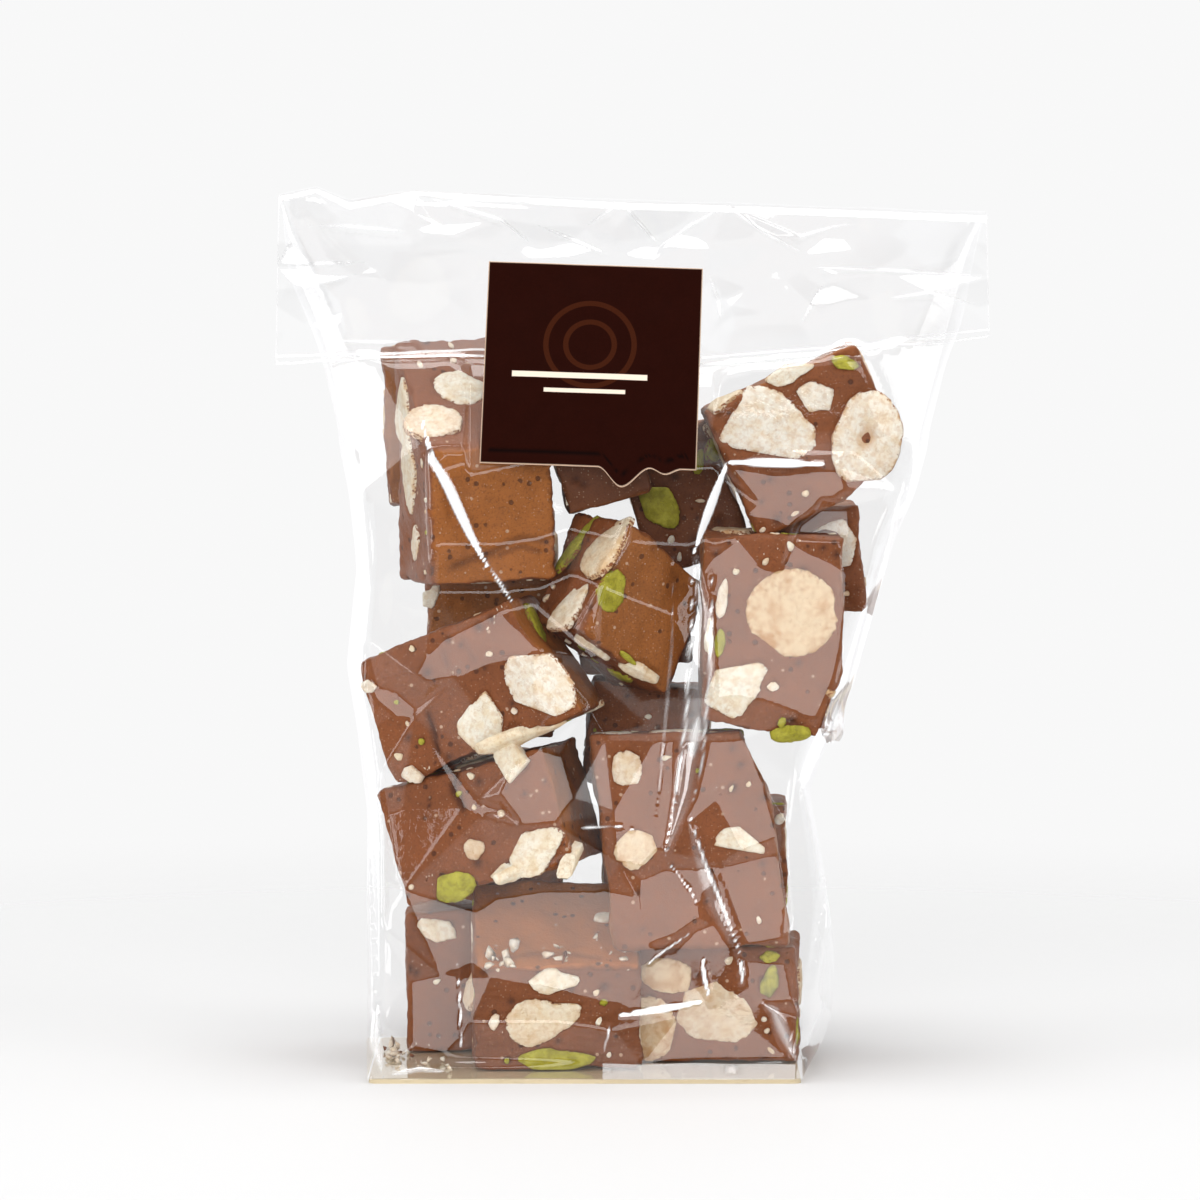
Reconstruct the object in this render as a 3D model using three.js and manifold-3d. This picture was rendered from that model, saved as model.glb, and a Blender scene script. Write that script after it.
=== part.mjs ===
// A clear film bag of nougat pieces, folded over at the top and closed with a square sticker.
// It stands on the pale card in its base. Millimetres, +Z up, front towards -Y.
// The origin is on the floor under the middle of the whole pack.
import * as THREE from 'three';
import { ConvexGeometry } from 'three/addons/geometries/ConvexGeometry.js';
import { mergeVertices } from 'three/addons/utils/BufferGeometryUtils.js';
import Module from 'manifold-3d';

// Base card, which gives the bag its block bottom
const CARD_WIDTH = 80;
const CARD_DEPTH = 54;
const CARD_THICKNESS = 0.8;
const CARD_CORNER = 1.5;
const CARD_X = -8.9;

// Top fold of the film: ends and crown of the fold line, in the plane of the front view
const FOLD_LINE = [[-66.5, 164.3], [-56, 165.8], [-40, 165.3], [66.5, 161.1]];
const FOLD_HALF_THICKNESS = 1.2;

// Front slope, on which the folded flap and the sticker lie
const SLOPE_ANGLE = THREE.MathUtils.degToRad(21.9);
const SLOPE_FOOT_Y = -22.7;
const SLOPE_FOOT_Z = 113.8;
const FLAP_THICKNESS = 2.2;
const FLAP_HEM = [[66.5, 139.3], [44, 136.6], [13, 133.8], [-30, 135.4], [-66.5, 134]];

// Sticker, closing the flap onto the front of the bag
const STICKER_SIDE = 40;
const STICKER_X = -7.6;
const STICKER_Z = 132.4;
const STICKER_TURN = THREE.MathUtils.degToRad(-2.1);
const STICKER_THICKNESS = 0.4;
const STICKER_GAP = 0.3;
// Drips along its lower edge: start, lowest point and end of each, across and down from that edge
const DRIPS = [[1.8, 6.3, 11.5, 3.8], [11.5, 14.3, 17.3, 1.1]];

// Clearance of the film round the pieces, and the bulge of its right side near the floor
const FILM_CLEARANCE = 0.6;
// Height from which the bag's empty top is one closed form, just above the highest pieces
const EMPTY_TOP_FOOT = 137;
// Share of each piece, about its middle, that the core joining all of them takes in
const CORE_SHARE = 0.6;
const SIDE_BULGE = [[37.7, -12, 9], [38, -12, 22], [37.7, 12, 9], [38, 12, 22]];

// How far the film reaches left and right at each height, as [x, z] from the floor up
const LEFT_SIDE = [[-49.6, CARD_THICKNESS], [-49.2, 20], [-49.4, 50], [-51.2, 64], [-53.4, 76], [-51.4, 94],
  [-53, 108], [-56, 122], [-59, 134], [-66.6, 150], [-66.6, 170]];
const RIGHT_SIDE = [[31.8, CARD_THICKNESS], [34.6, 3.8], [37.3, 10], [37.7, 23], [35, 42], [31, 54],
  [34, 60], [39.8, 66], [41, 73], [44.4, 87], [47.4, 101], [53.6, 110], [56, 122], [59, 134],
  [66.6, 150], [66.6, 170]];
const SIDE_STEPS = 40;
const SIDE_DEPTH = 80;

// Nougat pieces: place, size, turns in degrees about X, Y and Z, drop of the front top edge,
// lean towards +X from bottom to top, how much narrower the top is, and broken-off corners,
// each as the two ends of its break in the front view
const PIECES = [
  { at: [-14.5, -6, 17.6], size: [31, 22, 33], turn: [0, 0, 3], drop: 14 },
  { at: [-28, 16, 14.6], size: [30, 20, 27], turn: [0, -1, 0] },
  { at: [16.5, 4, 12.2], size: [30, 24, 22], turn: [0, 0, -3] },
  { at: [10.5, -10, 43.8], size: [32.3, 23, 40], turn: [-4, -1, 0], lean: -4,
    breaks: [[[19.5, 65.1], [28.4, 45.3]]] },
  { at: [-26.3, -10.2, 47.1], size: [33.5, 23, 22], turn: [0, -16, -16] },
  { at: [-29.7, -11.8, 72.5], size: [35, 20, 24], turn: [0, -22, -14], lean: -2, narrow: 8 },
  { at: [-2.2, -11, 88], size: [23, 18, 22], turn: [4, 34, 33], lean: -4 },
  { at: [25.8, -10, 82.6], size: [26, 22, 37], turn: [0, 2, 0], lean: -1,
    breaks: [[[37.4, 72.6], [33.5, 62.7]], [[33, 62.7], [12.3, 67.9]]] },
  { at: [33.5, 13.5, 95], size: [20, 20, 20], turn: [0, -4, 0] },
  { at: [32.5, -5, 118.5], size: [31, 22, 26], turn: [0, -24, 0], breaks: [[[50.6, 119.4], [42.4, 110.5]]] },
  { at: [9.5, 12.5, 107], size: [19, 19, 25], turn: [0, -18, 0] },
  { at: [-7, -6, 117], size: [16, 18, 21], turn: [0, -16, 0] },
  { at: [-29.8, -8.5, 115], size: [23.5, 24, 45], turn: [0, -2, 17], drop: 20 },
  { at: [-27, 13, 83], size: [24, 20, 43], turn: [0, 0, 0] },
  { at: [-36, 15.5, 121], size: [22, 16, 30], turn: [0, -3, 0] },
  { at: [12, 15.5, 36.5], size: [35, 19, 23.5], turn: [0, 0, 0] },
  { at: [3, 14, 61.5], size: [23, 20, 20], turn: [0, 6, 0] },
  { at: [-26, 15, 44], size: [26, 20, 28], turn: [0, 3, 0] },
  { at: [28, 14, 73], size: [20, 18, 19], turn: [0, 5, 0] },
  { at: [0, 15, 82], size: [21, 17, 15], turn: [0, -7, 0] },
];

const wasm = await Module();
wasm.setup();

// A closed solid of the joining library from a closed geometry
function solidOf(geometry) {
  const bare = geometry.clone();
  bare.deleteAttribute('normal');
  bare.deleteAttribute('uv');
  const merged = mergeVertices(bare, 1e-4);
  const vertProperties = new Float32Array(merged.attributes.position.array);
  const triVerts = new Uint32Array(merged.index.array);
  return new wasm.Manifold(new wasm.Mesh({ numProp: 3, vertProperties, triVerts }));
}

// The geometry of a solid that has been joined or cut
function geometryOf(solid) {
  const mesh = solid.getMesh();
  const geometry = new THREE.BufferGeometry();
  geometry.setAttribute('position', new THREE.BufferAttribute(mesh.vertProperties, 3));
  geometry.setIndex(new THREE.BufferAttribute(mesh.triVerts, 1));
  geometry.computeVertexNormals();
  return geometry;
}

function material(color, roughness, metalness = 0) {
  return new THREE.MeshStandardMaterial({ color, roughness, metalness });
}

// The eight corners of a nougat piece, in place, with every side moved out by `clearance`
function pieceCorners(piece, clearance = 0) {
  const turn = new THREE.Euler(...piece.turn.map(THREE.MathUtils.degToRad), 'YXZ');
  const [halfWidth, halfDepth, halfHeight] = piece.size.map((side) => side / 2 + clearance);
  const { drop = 0, lean = 0, narrow = 0 } = piece;
  const corners = [];
  for (const x of [-1, 1]) {
    for (const y of [-1, 1]) {
      for (const z of [-1, 1]) {
        const dropped = z > 0 && y < 0 ? drop : 0;
        const across = x * (halfWidth - narrow * z / 4) + lean * z / 2;
        const corner = new THREE.Vector3(across, y * halfDepth, z * halfHeight - dropped);
        corners.push(corner.applyEuler(turn).add(new THREE.Vector3(...piece.at)));
      }
    }
  }
  return corners;
}

// Outline of the film in the front view, one smooth curve up each side
function sideOutline() {
  const smooth = (side) => new THREE.SplineCurve(side.map(([x, z]) => new THREE.Vector2(x, z)));
  const left = smooth(LEFT_SIDE).getPoints(SIDE_STEPS);
  const right = smooth(RIGHT_SIDE).getPoints(SIDE_STEPS);
  return new THREE.Shape([...right, ...left.reverse()]);
}

// A flat outline of the front view, made thick along Y from the front of the pack to its back
function frontExtrusion(outline, depth) {
  const geometry = new THREE.ExtrudeGeometry(outline, { depth, bevelEnabled: false });
  return geometry.rotateX(Math.PI / 2).translate(0, depth / 2, 0);
}

// A piece's corners drawn in towards its middle
function coreCorners(piece) {
  const middle = new THREE.Vector3(...piece.at);
  return pieceCorners(piece).map((corner) => corner.lerp(middle, 1 - CORE_SHARE));
}

// A nougat piece at its true size, with its corners broken off straight through from front to back
function wholePiece(piece) {
  const [middleX, , middleZ] = piece.at;
  let solid = solidOf(new ConvexGeometry(pieceCorners(piece)));
  for (const [[x, z], [endX, endZ]] of piece.breaks ?? []) {
    const normal = new THREE.Vector3(z - endZ, 0, endX - x).normalize();
    const side = Math.sign(normal.x * (middleX - x) + normal.z * (middleZ - z));
    normal.multiplyScalar(side);
    solid = solid.trimByPlane(normal.toArray(), normal.x * x + normal.z * z);
  }
  return solid;
}

// The nougat pieces, joined by a smaller core behind the gaps between them
function contents() {
  const core = solidOf(new ConvexGeometry(PIECES.flatMap(coreCorners)));
  return PIECES.map(wholePiece).reduce((joined, piece) => joined.add(piece), core);
}

// The room inside the film pulled taut round the pieces, from the base card up to the fold line
function tautFilm() {
  const points = PIECES.flatMap((piece) => pieceCorners(piece, FILM_CLEARANCE));
  const floor = CARD_THICKNESS;
  for (const x of [CARD_X - CARD_WIDTH / 2, CARD_X + CARD_WIDTH / 2]) {
    for (const y of [-CARD_DEPTH / 2, CARD_DEPTH / 2]) points.push(new THREE.Vector3(x, y, floor));
  }
  for (const [x, z] of FOLD_LINE) {
    for (const y of [-1, 1]) points.push(new THREE.Vector3(x, y * FOLD_HALF_THICKNESS, z));
  }
  for (const place of SIDE_BULGE) points.push(new THREE.Vector3(...place));
  return solidOf(new ConvexGeometry(points)).intersect(solidOf(frontExtrusion(sideOutline(), SIDE_DEPTH)));
}

// The flattened sides of the film, which give the bag its outline from the front
function filmSides() {
  return solidOf(frontExtrusion(sideOutline(), 2 * FOLD_HALF_THICKNESS));
}

// Height up the slope, measured along it, for a height above the floor
const upSlope = (z) => (z - SLOPE_FOOT_Z) / Math.cos(SLOPE_ANGLE);

// Moves a shape drawn in the plane of the slope to its place: x across, y up the slope
function ontoSlope(geometry, forward) {
  return geometry
    .translate(0, 0, forward)
    .rotateX(Math.PI / 2 - SLOPE_ANGLE)
    .translate(0, SLOPE_FOOT_Y, SLOPE_FOOT_Z);
}

// The folded-over top, hanging down the front slope to its hem
function flap() {
  const corner = ([x, z]) => new THREE.Vector2(x, upSlope(z));
  const hem = new THREE.SplineCurve(FLAP_HEM.map(corner)).getPoints(FLAP_HEM.length * 4);
  const outline = new THREE.Shape([...FOLD_LINE.map(corner), ...hem]);
  const geometry = new THREE.ExtrudeGeometry(outline, { depth: FLAP_THICKNESS, bevelEnabled: false });
  return ontoSlope(geometry, -FLAP_THICKNESS);
}

// The sticker's outline about its middle, with drips along the lower edge
function stickerOutline() {
  const half = STICKER_SIDE / 2;
  const outline = new THREE.Shape().moveTo(-half, half).lineTo(-half, -half);
  for (const [start, lowest, end, drop] of DRIPS) {
    const reach = (lowest - start) / 2;
    outline.lineTo(start, -half);
    outline.bezierCurveTo(start + reach, -half, lowest - reach, -half - drop, lowest, -half - drop);
    outline.bezierCurveTo(lowest + reach, -half - drop, end - reach, -half, end, -half);
  }
  return outline.lineTo(half, -half).lineTo(half, half);
}

// A plate of the sticker's outline, from `back` to `front` ahead of the slope
function stickerPlate(back, front) {
  const settings = { depth: front - back, bevelEnabled: false, curveSegments: 8 };
  const geometry = new THREE.ExtrudeGeometry(stickerOutline(), settings);
  geometry.rotateZ(STICKER_TURN).translate(STICKER_X, upSlope(STICKER_Z), 0);
  return ontoSlope(geometry, back);
}

function baseCard() {
  const [x, y] = [CARD_WIDTH / 2, CARD_DEPTH / 2];
  const outline = new THREE.Shape();
  const corners = [[x, y, 0], [-x, y, 90], [-x, -y, 180], [x, -y, 270]];
  for (const [cornerX, cornerY, from] of corners) {
    const start = THREE.MathUtils.degToRad(from);
    const centreX = cornerX - Math.sign(cornerX) * CARD_CORNER;
    const centreY = cornerY - Math.sign(cornerY) * CARD_CORNER;
    outline.absarc(centreX, centreY, CARD_CORNER, start, start + Math.PI / 2, false);
  }
  const settings = { depth: CARD_THICKNESS, bevelEnabled: false, curveSegments: 6 };
  return new THREE.ExtrudeGeometry(outline, settings).translate(CARD_X, 0, 0);
}

// Pieces, film sides and empty top kept within the taut film, with the flap and the film behind the sticker
function bag() {
  const film = tautFilm();
  const held = contents().add(filmSides()).intersect(film);
  const emptyTop = film.trimByPlane([0, 0, 1], EMPTY_TOP_FOOT);
  const front = solidOf(flap()).add(solidOf(stickerPlate(-FLAP_THICKNESS, 0)));
  const room = solidOf(stickerPlate(0, SIDE_DEPTH / 4));
  return geometryOf(held.add(emptyTop).add(front).subtract(room));
}

function named(name, geometry, look) {
  const mesh = new THREE.Mesh(geometry, look);
  mesh.name = name;
  return mesh;
}

const pack = new THREE.Group();
pack.add(named('bag', bag(), material(0x8a5f48, 0.25)));
pack.add(named('sticker', stickerPlate(STICKER_GAP, STICKER_GAP + STICKER_THICKNESS), material(0x1d0806, 0.4)));
pack.add(named('base_card', baseCard(), material(0xb5a381, 0.8)));

export default pack;
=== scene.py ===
"""A clear film bag of nougat pieces, closed with a square sticker, standing in a plain pale studio.

Sizes are in millimetres until a mesh is made. The front of the bag faces -Y, and +Z is up.
"""

import logging
import math
from collections.abc import Iterable, Sequence
from dataclasses import dataclass, field, replace
from enum import Enum
from functools import cache
from math import pi, radians

import bmesh
import bpy
import numpy as np
from bpy.types import ID, Material, Node, NodeSocket as Socket, NodeTree, Object
from mathutils import Euler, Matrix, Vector
from mathutils.bvhtree import BVHTree
from mathutils.geometry import delaunay_2d_cdt
from numpy.linalg import norm


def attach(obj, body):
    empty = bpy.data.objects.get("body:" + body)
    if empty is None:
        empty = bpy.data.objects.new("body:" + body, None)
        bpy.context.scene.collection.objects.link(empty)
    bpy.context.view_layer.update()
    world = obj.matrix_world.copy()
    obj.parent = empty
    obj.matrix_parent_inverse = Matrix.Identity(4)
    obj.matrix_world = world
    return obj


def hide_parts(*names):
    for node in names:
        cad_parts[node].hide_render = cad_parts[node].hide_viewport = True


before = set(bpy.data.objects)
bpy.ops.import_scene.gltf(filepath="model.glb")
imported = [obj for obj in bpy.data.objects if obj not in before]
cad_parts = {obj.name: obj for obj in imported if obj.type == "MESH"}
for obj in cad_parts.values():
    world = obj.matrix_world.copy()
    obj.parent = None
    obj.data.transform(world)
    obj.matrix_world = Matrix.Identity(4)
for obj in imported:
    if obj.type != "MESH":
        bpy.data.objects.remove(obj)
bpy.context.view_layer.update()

LOG = logging.getLogger("nougat_bag")
METRES = 0.001
PHOTO_PIXELS = 1200
WHITE = (1.0, 1.0, 1.0, 1.0)

Array = np.ndarray
Colour = tuple[float, float, float, float]
Pair = tuple[float, float]
Line = tuple[Pair, ...]
Triple = tuple[float, float, float]


def shade(red: int, green: int, blue: int) -> Colour:
    """A linear colour from the 0 to 255 values that a screen shows.

    Args:
        red: screen red.
        green: screen green.
        blue: screen blue.

    Returns:
        The linear colour with full alpha.
    """
    def linear(value: int) -> float:
        """One channel made linear."""
        part = value / 255
        return part / 12.92 if part <= 0.04045 else ((part + 0.055) / 1.055) ** 2.4
    return linear(red), linear(green), linear(blue), 1.0


def smooth_step(low: float, high: float, value: Array) -> Array:
    """0 below low, 1 above high and a smooth rise between."""
    part = np.clip((value - low) / (high - low), 0.0, 1.0)
    return part * part * (3 - 2 * part)


def lumps(points: Array, size: float, seed: int, octaves: int = 3) -> Array:
    """Smooth seeded noise in about -1 to 1.

    Args:
        points: places, one row each.
        size: length of the largest lumps.
        seed: picks the pattern.
        octaves: number of halvings of the size.

    Returns:
        One value for each point.
    """
    rng = np.random.default_rng(seed)
    total = np.zeros(len(points))
    for octave in range(octaves):
        ways = rng.normal(size=(7, points.shape[1]))
        ways /= norm(ways, axis=1, keepdims=True)
        turns = points @ ways.T * (2 * pi * 2 ** octave / size) + rng.uniform(0, 2 * pi, 7)
        total += np.sin(turns).sum(axis=1) / 3.2 / 1.9 ** octave
    return total


def facets(places: Array, knots: Array, heights: Array, edges: Sequence[tuple[int, int]] = ()) -> Array:
    """Height of a sheet creased along the edges between flat triangles.

    Args:
        places: two coordinates for each point of the sheet.
        knots: two coordinates for each corner of the triangles.
        heights: the height at each corner.
        edges: pairs of corners that a crease has to join.

    Returns:
        One height for each place, 0 outside the triangles.
    """
    made = delaunay_2d_cdt([Vector(knot) for knot in knots], list(edges), [], 0, 1e-6)
    corners = np.array([list(vertex) for vertex in made[0]])
    level = np.array([heights[sources[0]] if sources else 0.0 for sources in made[3]])
    found = np.zeros(len(places))
    for a, b, c in made[2]:
        edge_b, edge_c = corners[b] - corners[a], corners[c] - corners[a]
        area = edge_b[0] * edge_c[1] - edge_b[1] * edge_c[0]
        if abs(area) < 1e-9:
            continue
        away = places - corners[a]
        along_b = (away[:, 0] * edge_c[1] - away[:, 1] * edge_c[0]) / area
        along_c = (away[:, 1] * edge_b[0] - away[:, 0] * edge_b[1]) / area
        inside = (along_b >= -1e-9) & (along_c >= -1e-9) & (along_b + along_c <= 1 + 1e-9)
        height = level[a] + along_b * (level[b] - level[a]) + along_c * (level[c] - level[a])
        found[inside] = height[inside]
    return found


def distance_to_line(places: Array, line: Sequence[Sequence[float]]) -> tuple[Array, Array]:
    """How far places lie from a line of straight pieces.

    Args:
        places: two or three coordinates each.
        line: its corners in order, with as many.

    Returns:
        The distance, and how far along the line its nearest point lies, from 0 to 1.
    """
    nearest = np.full(len(places), 1e9)
    along = np.zeros(len(places))
    corners = np.array(line, float)
    lengths = norm(np.diff(corners, axis=0), axis=1)
    walked = np.concatenate([[0], np.cumsum(lengths)])
    for start, end, length, before in zip(corners, corners[1:], lengths, walked):
        part = np.clip((places - start) @ (end - start) / length ** 2, 0, 1)
        gap = norm(places - start - part[:, None] * (end - start), axis=1)
        closer = gap < nearest
        nearest[closer] = gap[closer]
        along[closer] = (before + part[closer] * length) / walked[-1]
    return nearest, along


def unit(rows: Array) -> Array:
    """Rows scaled to length 1."""
    return rows / np.maximum(norm(rows, axis=-1, keepdims=True), 1e-9)


def grid_faces(rows: int, columns: int, wrap: bool = False, first: int = 0) -> list[tuple[int, ...]]:
    """Quads of a grid of points numbered row by row.

    Args:
        rows: number of rows.
        columns: points in a row.
        wrap: whether the last column joins the first.
        first: number of the grid's first point.

    Returns:
        The faces.
    """
    row, column = np.meshgrid(np.arange(rows - 1), np.arange(columns - (not wrap)), indexing="ij")
    here = first + row * columns + column
    right = first + row * columns + (column + 1) % columns
    return np.stack([here, right, right + columns, here + columns], -1).reshape(-1, 4).tolist()


def ring_normals(grid: Array) -> Array:
    """Unit normals of a grid of points whose last column joins the first."""
    across = np.roll(grid, -1, 1) - np.roll(grid, 1, 1)
    return unit(np.cross(across, np.gradient(grid, axis=0))).reshape(-1, 3)


def at_height(profile: Sequence[Pair], height: float | Array) -> float | Array:
    """How far across a profile lies at a height."""
    return np.interp(height, *np.array(profile).T[::-1])


def at_width(line: Sequence[Pair], across: float | Array) -> float | Array:
    """How high a line lies at a place across it."""
    return np.interp(across, *np.array(line).T)


def link(name: str, data: ID) -> Object:
    """A new object of the scene."""
    made = bpy.data.objects.new(name, data)
    bpy.context.scene.collection.objects.link(made)
    return made


@dataclass
class Shape:
    """Points, faces and per-point values of a mesh that is still being put together."""

    points: list[Array] = field(default_factory=list)
    faces: list[tuple[int, ...]] = field(default_factory=list)
    values: dict[str, list[Array]] = field(default_factory=dict)
    count: int = 0

    def add(self, points: Array, faces: Iterable[Sequence[int]], **values: Array | float) -> None:
        """Adds a patch whose faces number its own points from 0.

        Args:
            points: its points, in millimetres.
            faces: its faces.
            values: one value a point, or one for all, under each name.
        """
        self.points.append(points)
        self.faces.extend(tuple(self.count + corner for corner in face) for face in faces)
        for name, value in values.items():
            self.values.setdefault(name, []).append(np.broadcast_to(value, (len(points),)))
        self.count += len(points)

    def add_grid(self, grid: Array, wrap: bool = False, **values: Array | float) -> None:
        """Adds a grid of points, whose last column joins the first if it wraps."""
        self.add(grid.reshape(-1, 3), grid_faces(*grid.shape[:2], wrap=wrap), **values)

    def object(self, name: str, material: Material) -> Object:
        """Makes the Blender object, smooth shaded, in metres.

        Args:
            name: name of the object.
            material: its finish.

        Returns:
            The object.
        """
        mesh = bpy.data.meshes.new(name)
        mesh.from_pydata((np.vstack(self.points) * METRES).tolist(), [], self.faces)
        for key, parts in self.values.items():
            layer = mesh.attributes.new(key, "FLOAT", "POINT")
            layer.data.foreach_set("value", np.concatenate(parts).astype(np.float32))
        mesh.polygons.foreach_set("use_smooth", [True] * len(mesh.polygons))
        mesh.materials.append(material)
        mesh.update()
        return link(name, mesh)


def report(piece: Object, node: str) -> None:
    """Ties a finished piece to the frame and logs it.

    Args:
        piece: the Blender object.
        node: the CAD node that it stands for.
    """
    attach(piece, "root")
    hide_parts(node)
    LOG.info("%s: %d faces for %s", piece.name, len(piece.data.polygons), node)


class Tree:
    """Short calls for making nodes in one node tree."""

    def __init__(self, tree: NodeTree) -> None:
        """Keeps the tree."""
        self.tree = tree

    def node(self, kind: str, inputs: dict | None = None, **settings: object) -> Node:
        """Makes one node.

        Args:
            kind: its Blender type.
            inputs: value or socket for inputs, by name or number.
            settings: its properties.

        Returns:
            The node.
        """
        made = self.tree.nodes.new(kind)
        for name, value in settings.items():
            setattr(made, name, value)
        for name, value in (inputs or {}).items():
            if isinstance(value, Socket):
                self.tree.links.new(value, made.inputs[name])
            else:
                made.inputs[name].default_value = value
        return made

    def math(self, operation: str, *values: object) -> Socket:
        """The result of a Math node."""
        return self.node("ShaderNodeMath", dict(enumerate(values)), operation=operation).outputs[0]

    def times(self, one: object, two: object) -> Socket:
        """The product of two numbers."""
        return self.math("MULTIPLY", one, two)

    def scaled(self, colour: object, factor: object) -> Socket:
        """A colour times a number."""
        return self.node("ShaderNodeVectorMath", {0: colour, "Scale": factor}, operation="SCALE").outputs[0]

    def ramp(self, value: object, low: float, high: float, start: float = 0.0, end: float = 1.0) -> Socket:
        """The value, taken from low to high onto start to end and clamped."""
        sockets = {"Value": value, "From Min": low, "From Max": high, "To Min": start, "To Max": end}
        return self.node("ShaderNodeMapRange", sockets).outputs[0]

    def blend(self, amount: object, first: object, second: object) -> Socket:
        """A colour between two others."""
        return self.node("ShaderNodeMix", {0: amount, 6: first, 7: second}, data_type="RGBA").outputs[2]

    def tinted(self, colour: object, *layers: tuple[object, float, Colour]) -> Socket:
        """The colour under layers, each a mask, its strength and its colour."""
        for mask, strength, over in layers:
            colour = self.blend(self.times(mask, strength), colour, over)
        return colour

    def value_of(self, name: str) -> Socket:
        """A named value of the mesh."""
        return self.node("ShaderNodeAttribute", attribute_name=name).outputs["Fac"]

    def noise(self, scale: object, detail: float = 3.0, vector: object = None) -> Socket:
        """Blender's noise at a scale for each metre."""
        sockets = {"Scale": scale, "Detail": detail, "Roughness": 0.6, "Vector": vector or self.place()}
        return self.node("ShaderNodeTexNoise", sockets).outputs["Fac"]

    def dragged(self, scale: float, detail: float, stretch: Triple) -> Socket:
        """Noise drawn out along an axis, by how much each axis is scaled."""
        turned = self.node("ShaderNodeMapping", {"Vector": self.place(), "Scale": stretch})
        return self.noise(scale, detail, turned.outputs[0])

    def place(self) -> Socket:
        """The place on the object, in metres."""
        return self.node("ShaderNodeTexCoord").outputs["Object"]

    def mottled(self, colour: object, scale: float, amount: float) -> tuple[Socket, Socket]:
        """The colour and the height that the shared mottle gives."""
        sockets = {"Colour": colour, "Scale": scale, "Amount": amount}
        made = self.node("ShaderNodeGroup", sockets, node_tree=mottle())
        return made.outputs["Colour"], made.outputs["Height"]

    def specks(self, scale: float, share: float) -> Socket:
        """The mask of the shared specks: how many for a metre, and the share of them that shows."""
        return self.node("ShaderNodeGroup", {"Scale": scale, "Share": share}, node_tree=specks()).outputs[0]

    def end(self, shader: Node) -> None:
        """Makes the material's output."""
        self.node("ShaderNodeOutputMaterial", {"Surface": shader.outputs[0]})

    def solid(self, colour: object, rough: object, relief: object, bump: Pair, specular: float = 0.5) -> None:
        """Ends a material as one solid surface.

        Args:
            colour: its colour.
            rough: its roughness.
            relief: the height of its bump.
            bump: the bump's strength, and its distance in metres.
            specular: how strongly it mirrors.
        """
        strength, distance = bump
        raised = self.node("ShaderNodeBump", {"Strength": strength, "Distance": distance, "Height": relief})
        self.end(self.node("ShaderNodeBsdfPrincipled", {
            "Base Color": colour, "Roughness": rough, "Specular IOR Level": specular,
            "Normal": raised.outputs[0]}))


def new_group(name: str, inputs: dict[str, str], outputs: dict[str, str]) -> tuple[Tree, Node]:
    """A node group with its sockets.

    Args:
        name: name of the group.
        inputs: kind of each input socket, by name.
        outputs: kind of each output socket, by name.

    Returns:
        Its tree, and the node with what is given to it.
    """
    group = bpy.data.node_groups.new(name, "ShaderNodeTree")
    for way, sockets in (("INPUT", inputs), ("OUTPUT", outputs)):
        for socket, kind in sockets.items():
            group.interface.new_socket(name=socket, in_out=way, socket_type="NodeSocket" + kind)
    tree = Tree(group)
    return tree, tree.node("NodeGroupInput")


@cache
def mottle() -> NodeTree:
    """The group of patches of two scales that shift a colour lighter and darker, and their relief."""
    tree, given = new_group("mottle", {"Colour": "Color", "Scale": "Float", "Amount": "Float"},
                            {"Colour": "Color", "Height": "Float"})
    scale = given.outputs["Scale"]
    broad, fine = tree.noise(scale, 4.0), tree.noise(tree.times(scale, 6.0), 6.0)
    both = tree.math("ADD", tree.times(broad, 0.6), tree.times(fine, 0.4))
    change = tree.times(tree.ramp(both, 0.3, 0.7, -1.0, 1.0), given.outputs["Amount"])
    colour = tree.scaled(given.outputs["Colour"], tree.math("ADD", change, 1.0))
    tree.node("NodeGroupOutput", {"Colour": colour, "Height": both})
    return tree.tree


@cache
def specks() -> NodeTree:
    """The group of small separate specks: a mask that is 1 on them."""
    tree, given = new_group("specks", {"Scale": "Float", "Share": "Float"}, {"Mask": "Float"})
    cells = tree.node("ShaderNodeTexVoronoi", {"Scale": given.outputs["Scale"], "Vector": tree.place()})
    drawn = tree.node("ShaderNodeSeparateColor", {0: cells.outputs["Color"]}).outputs[0]
    picked = tree.math("LESS_THAN", drawn, given.outputs["Share"])
    near = tree.ramp(cells.outputs["Distance"], 0.34, 0.26)
    tree.node("NodeGroupOutput", {"Mask": tree.times(picked, near)})
    return tree.tree


def new_material(name: str) -> tuple[Material, Tree]:
    """An empty node material and its tree."""
    material = bpy.data.materials.new(name)
    material.use_nodes = True
    material.node_tree.nodes.clear()
    return material, Tree(material.node_tree)


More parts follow.
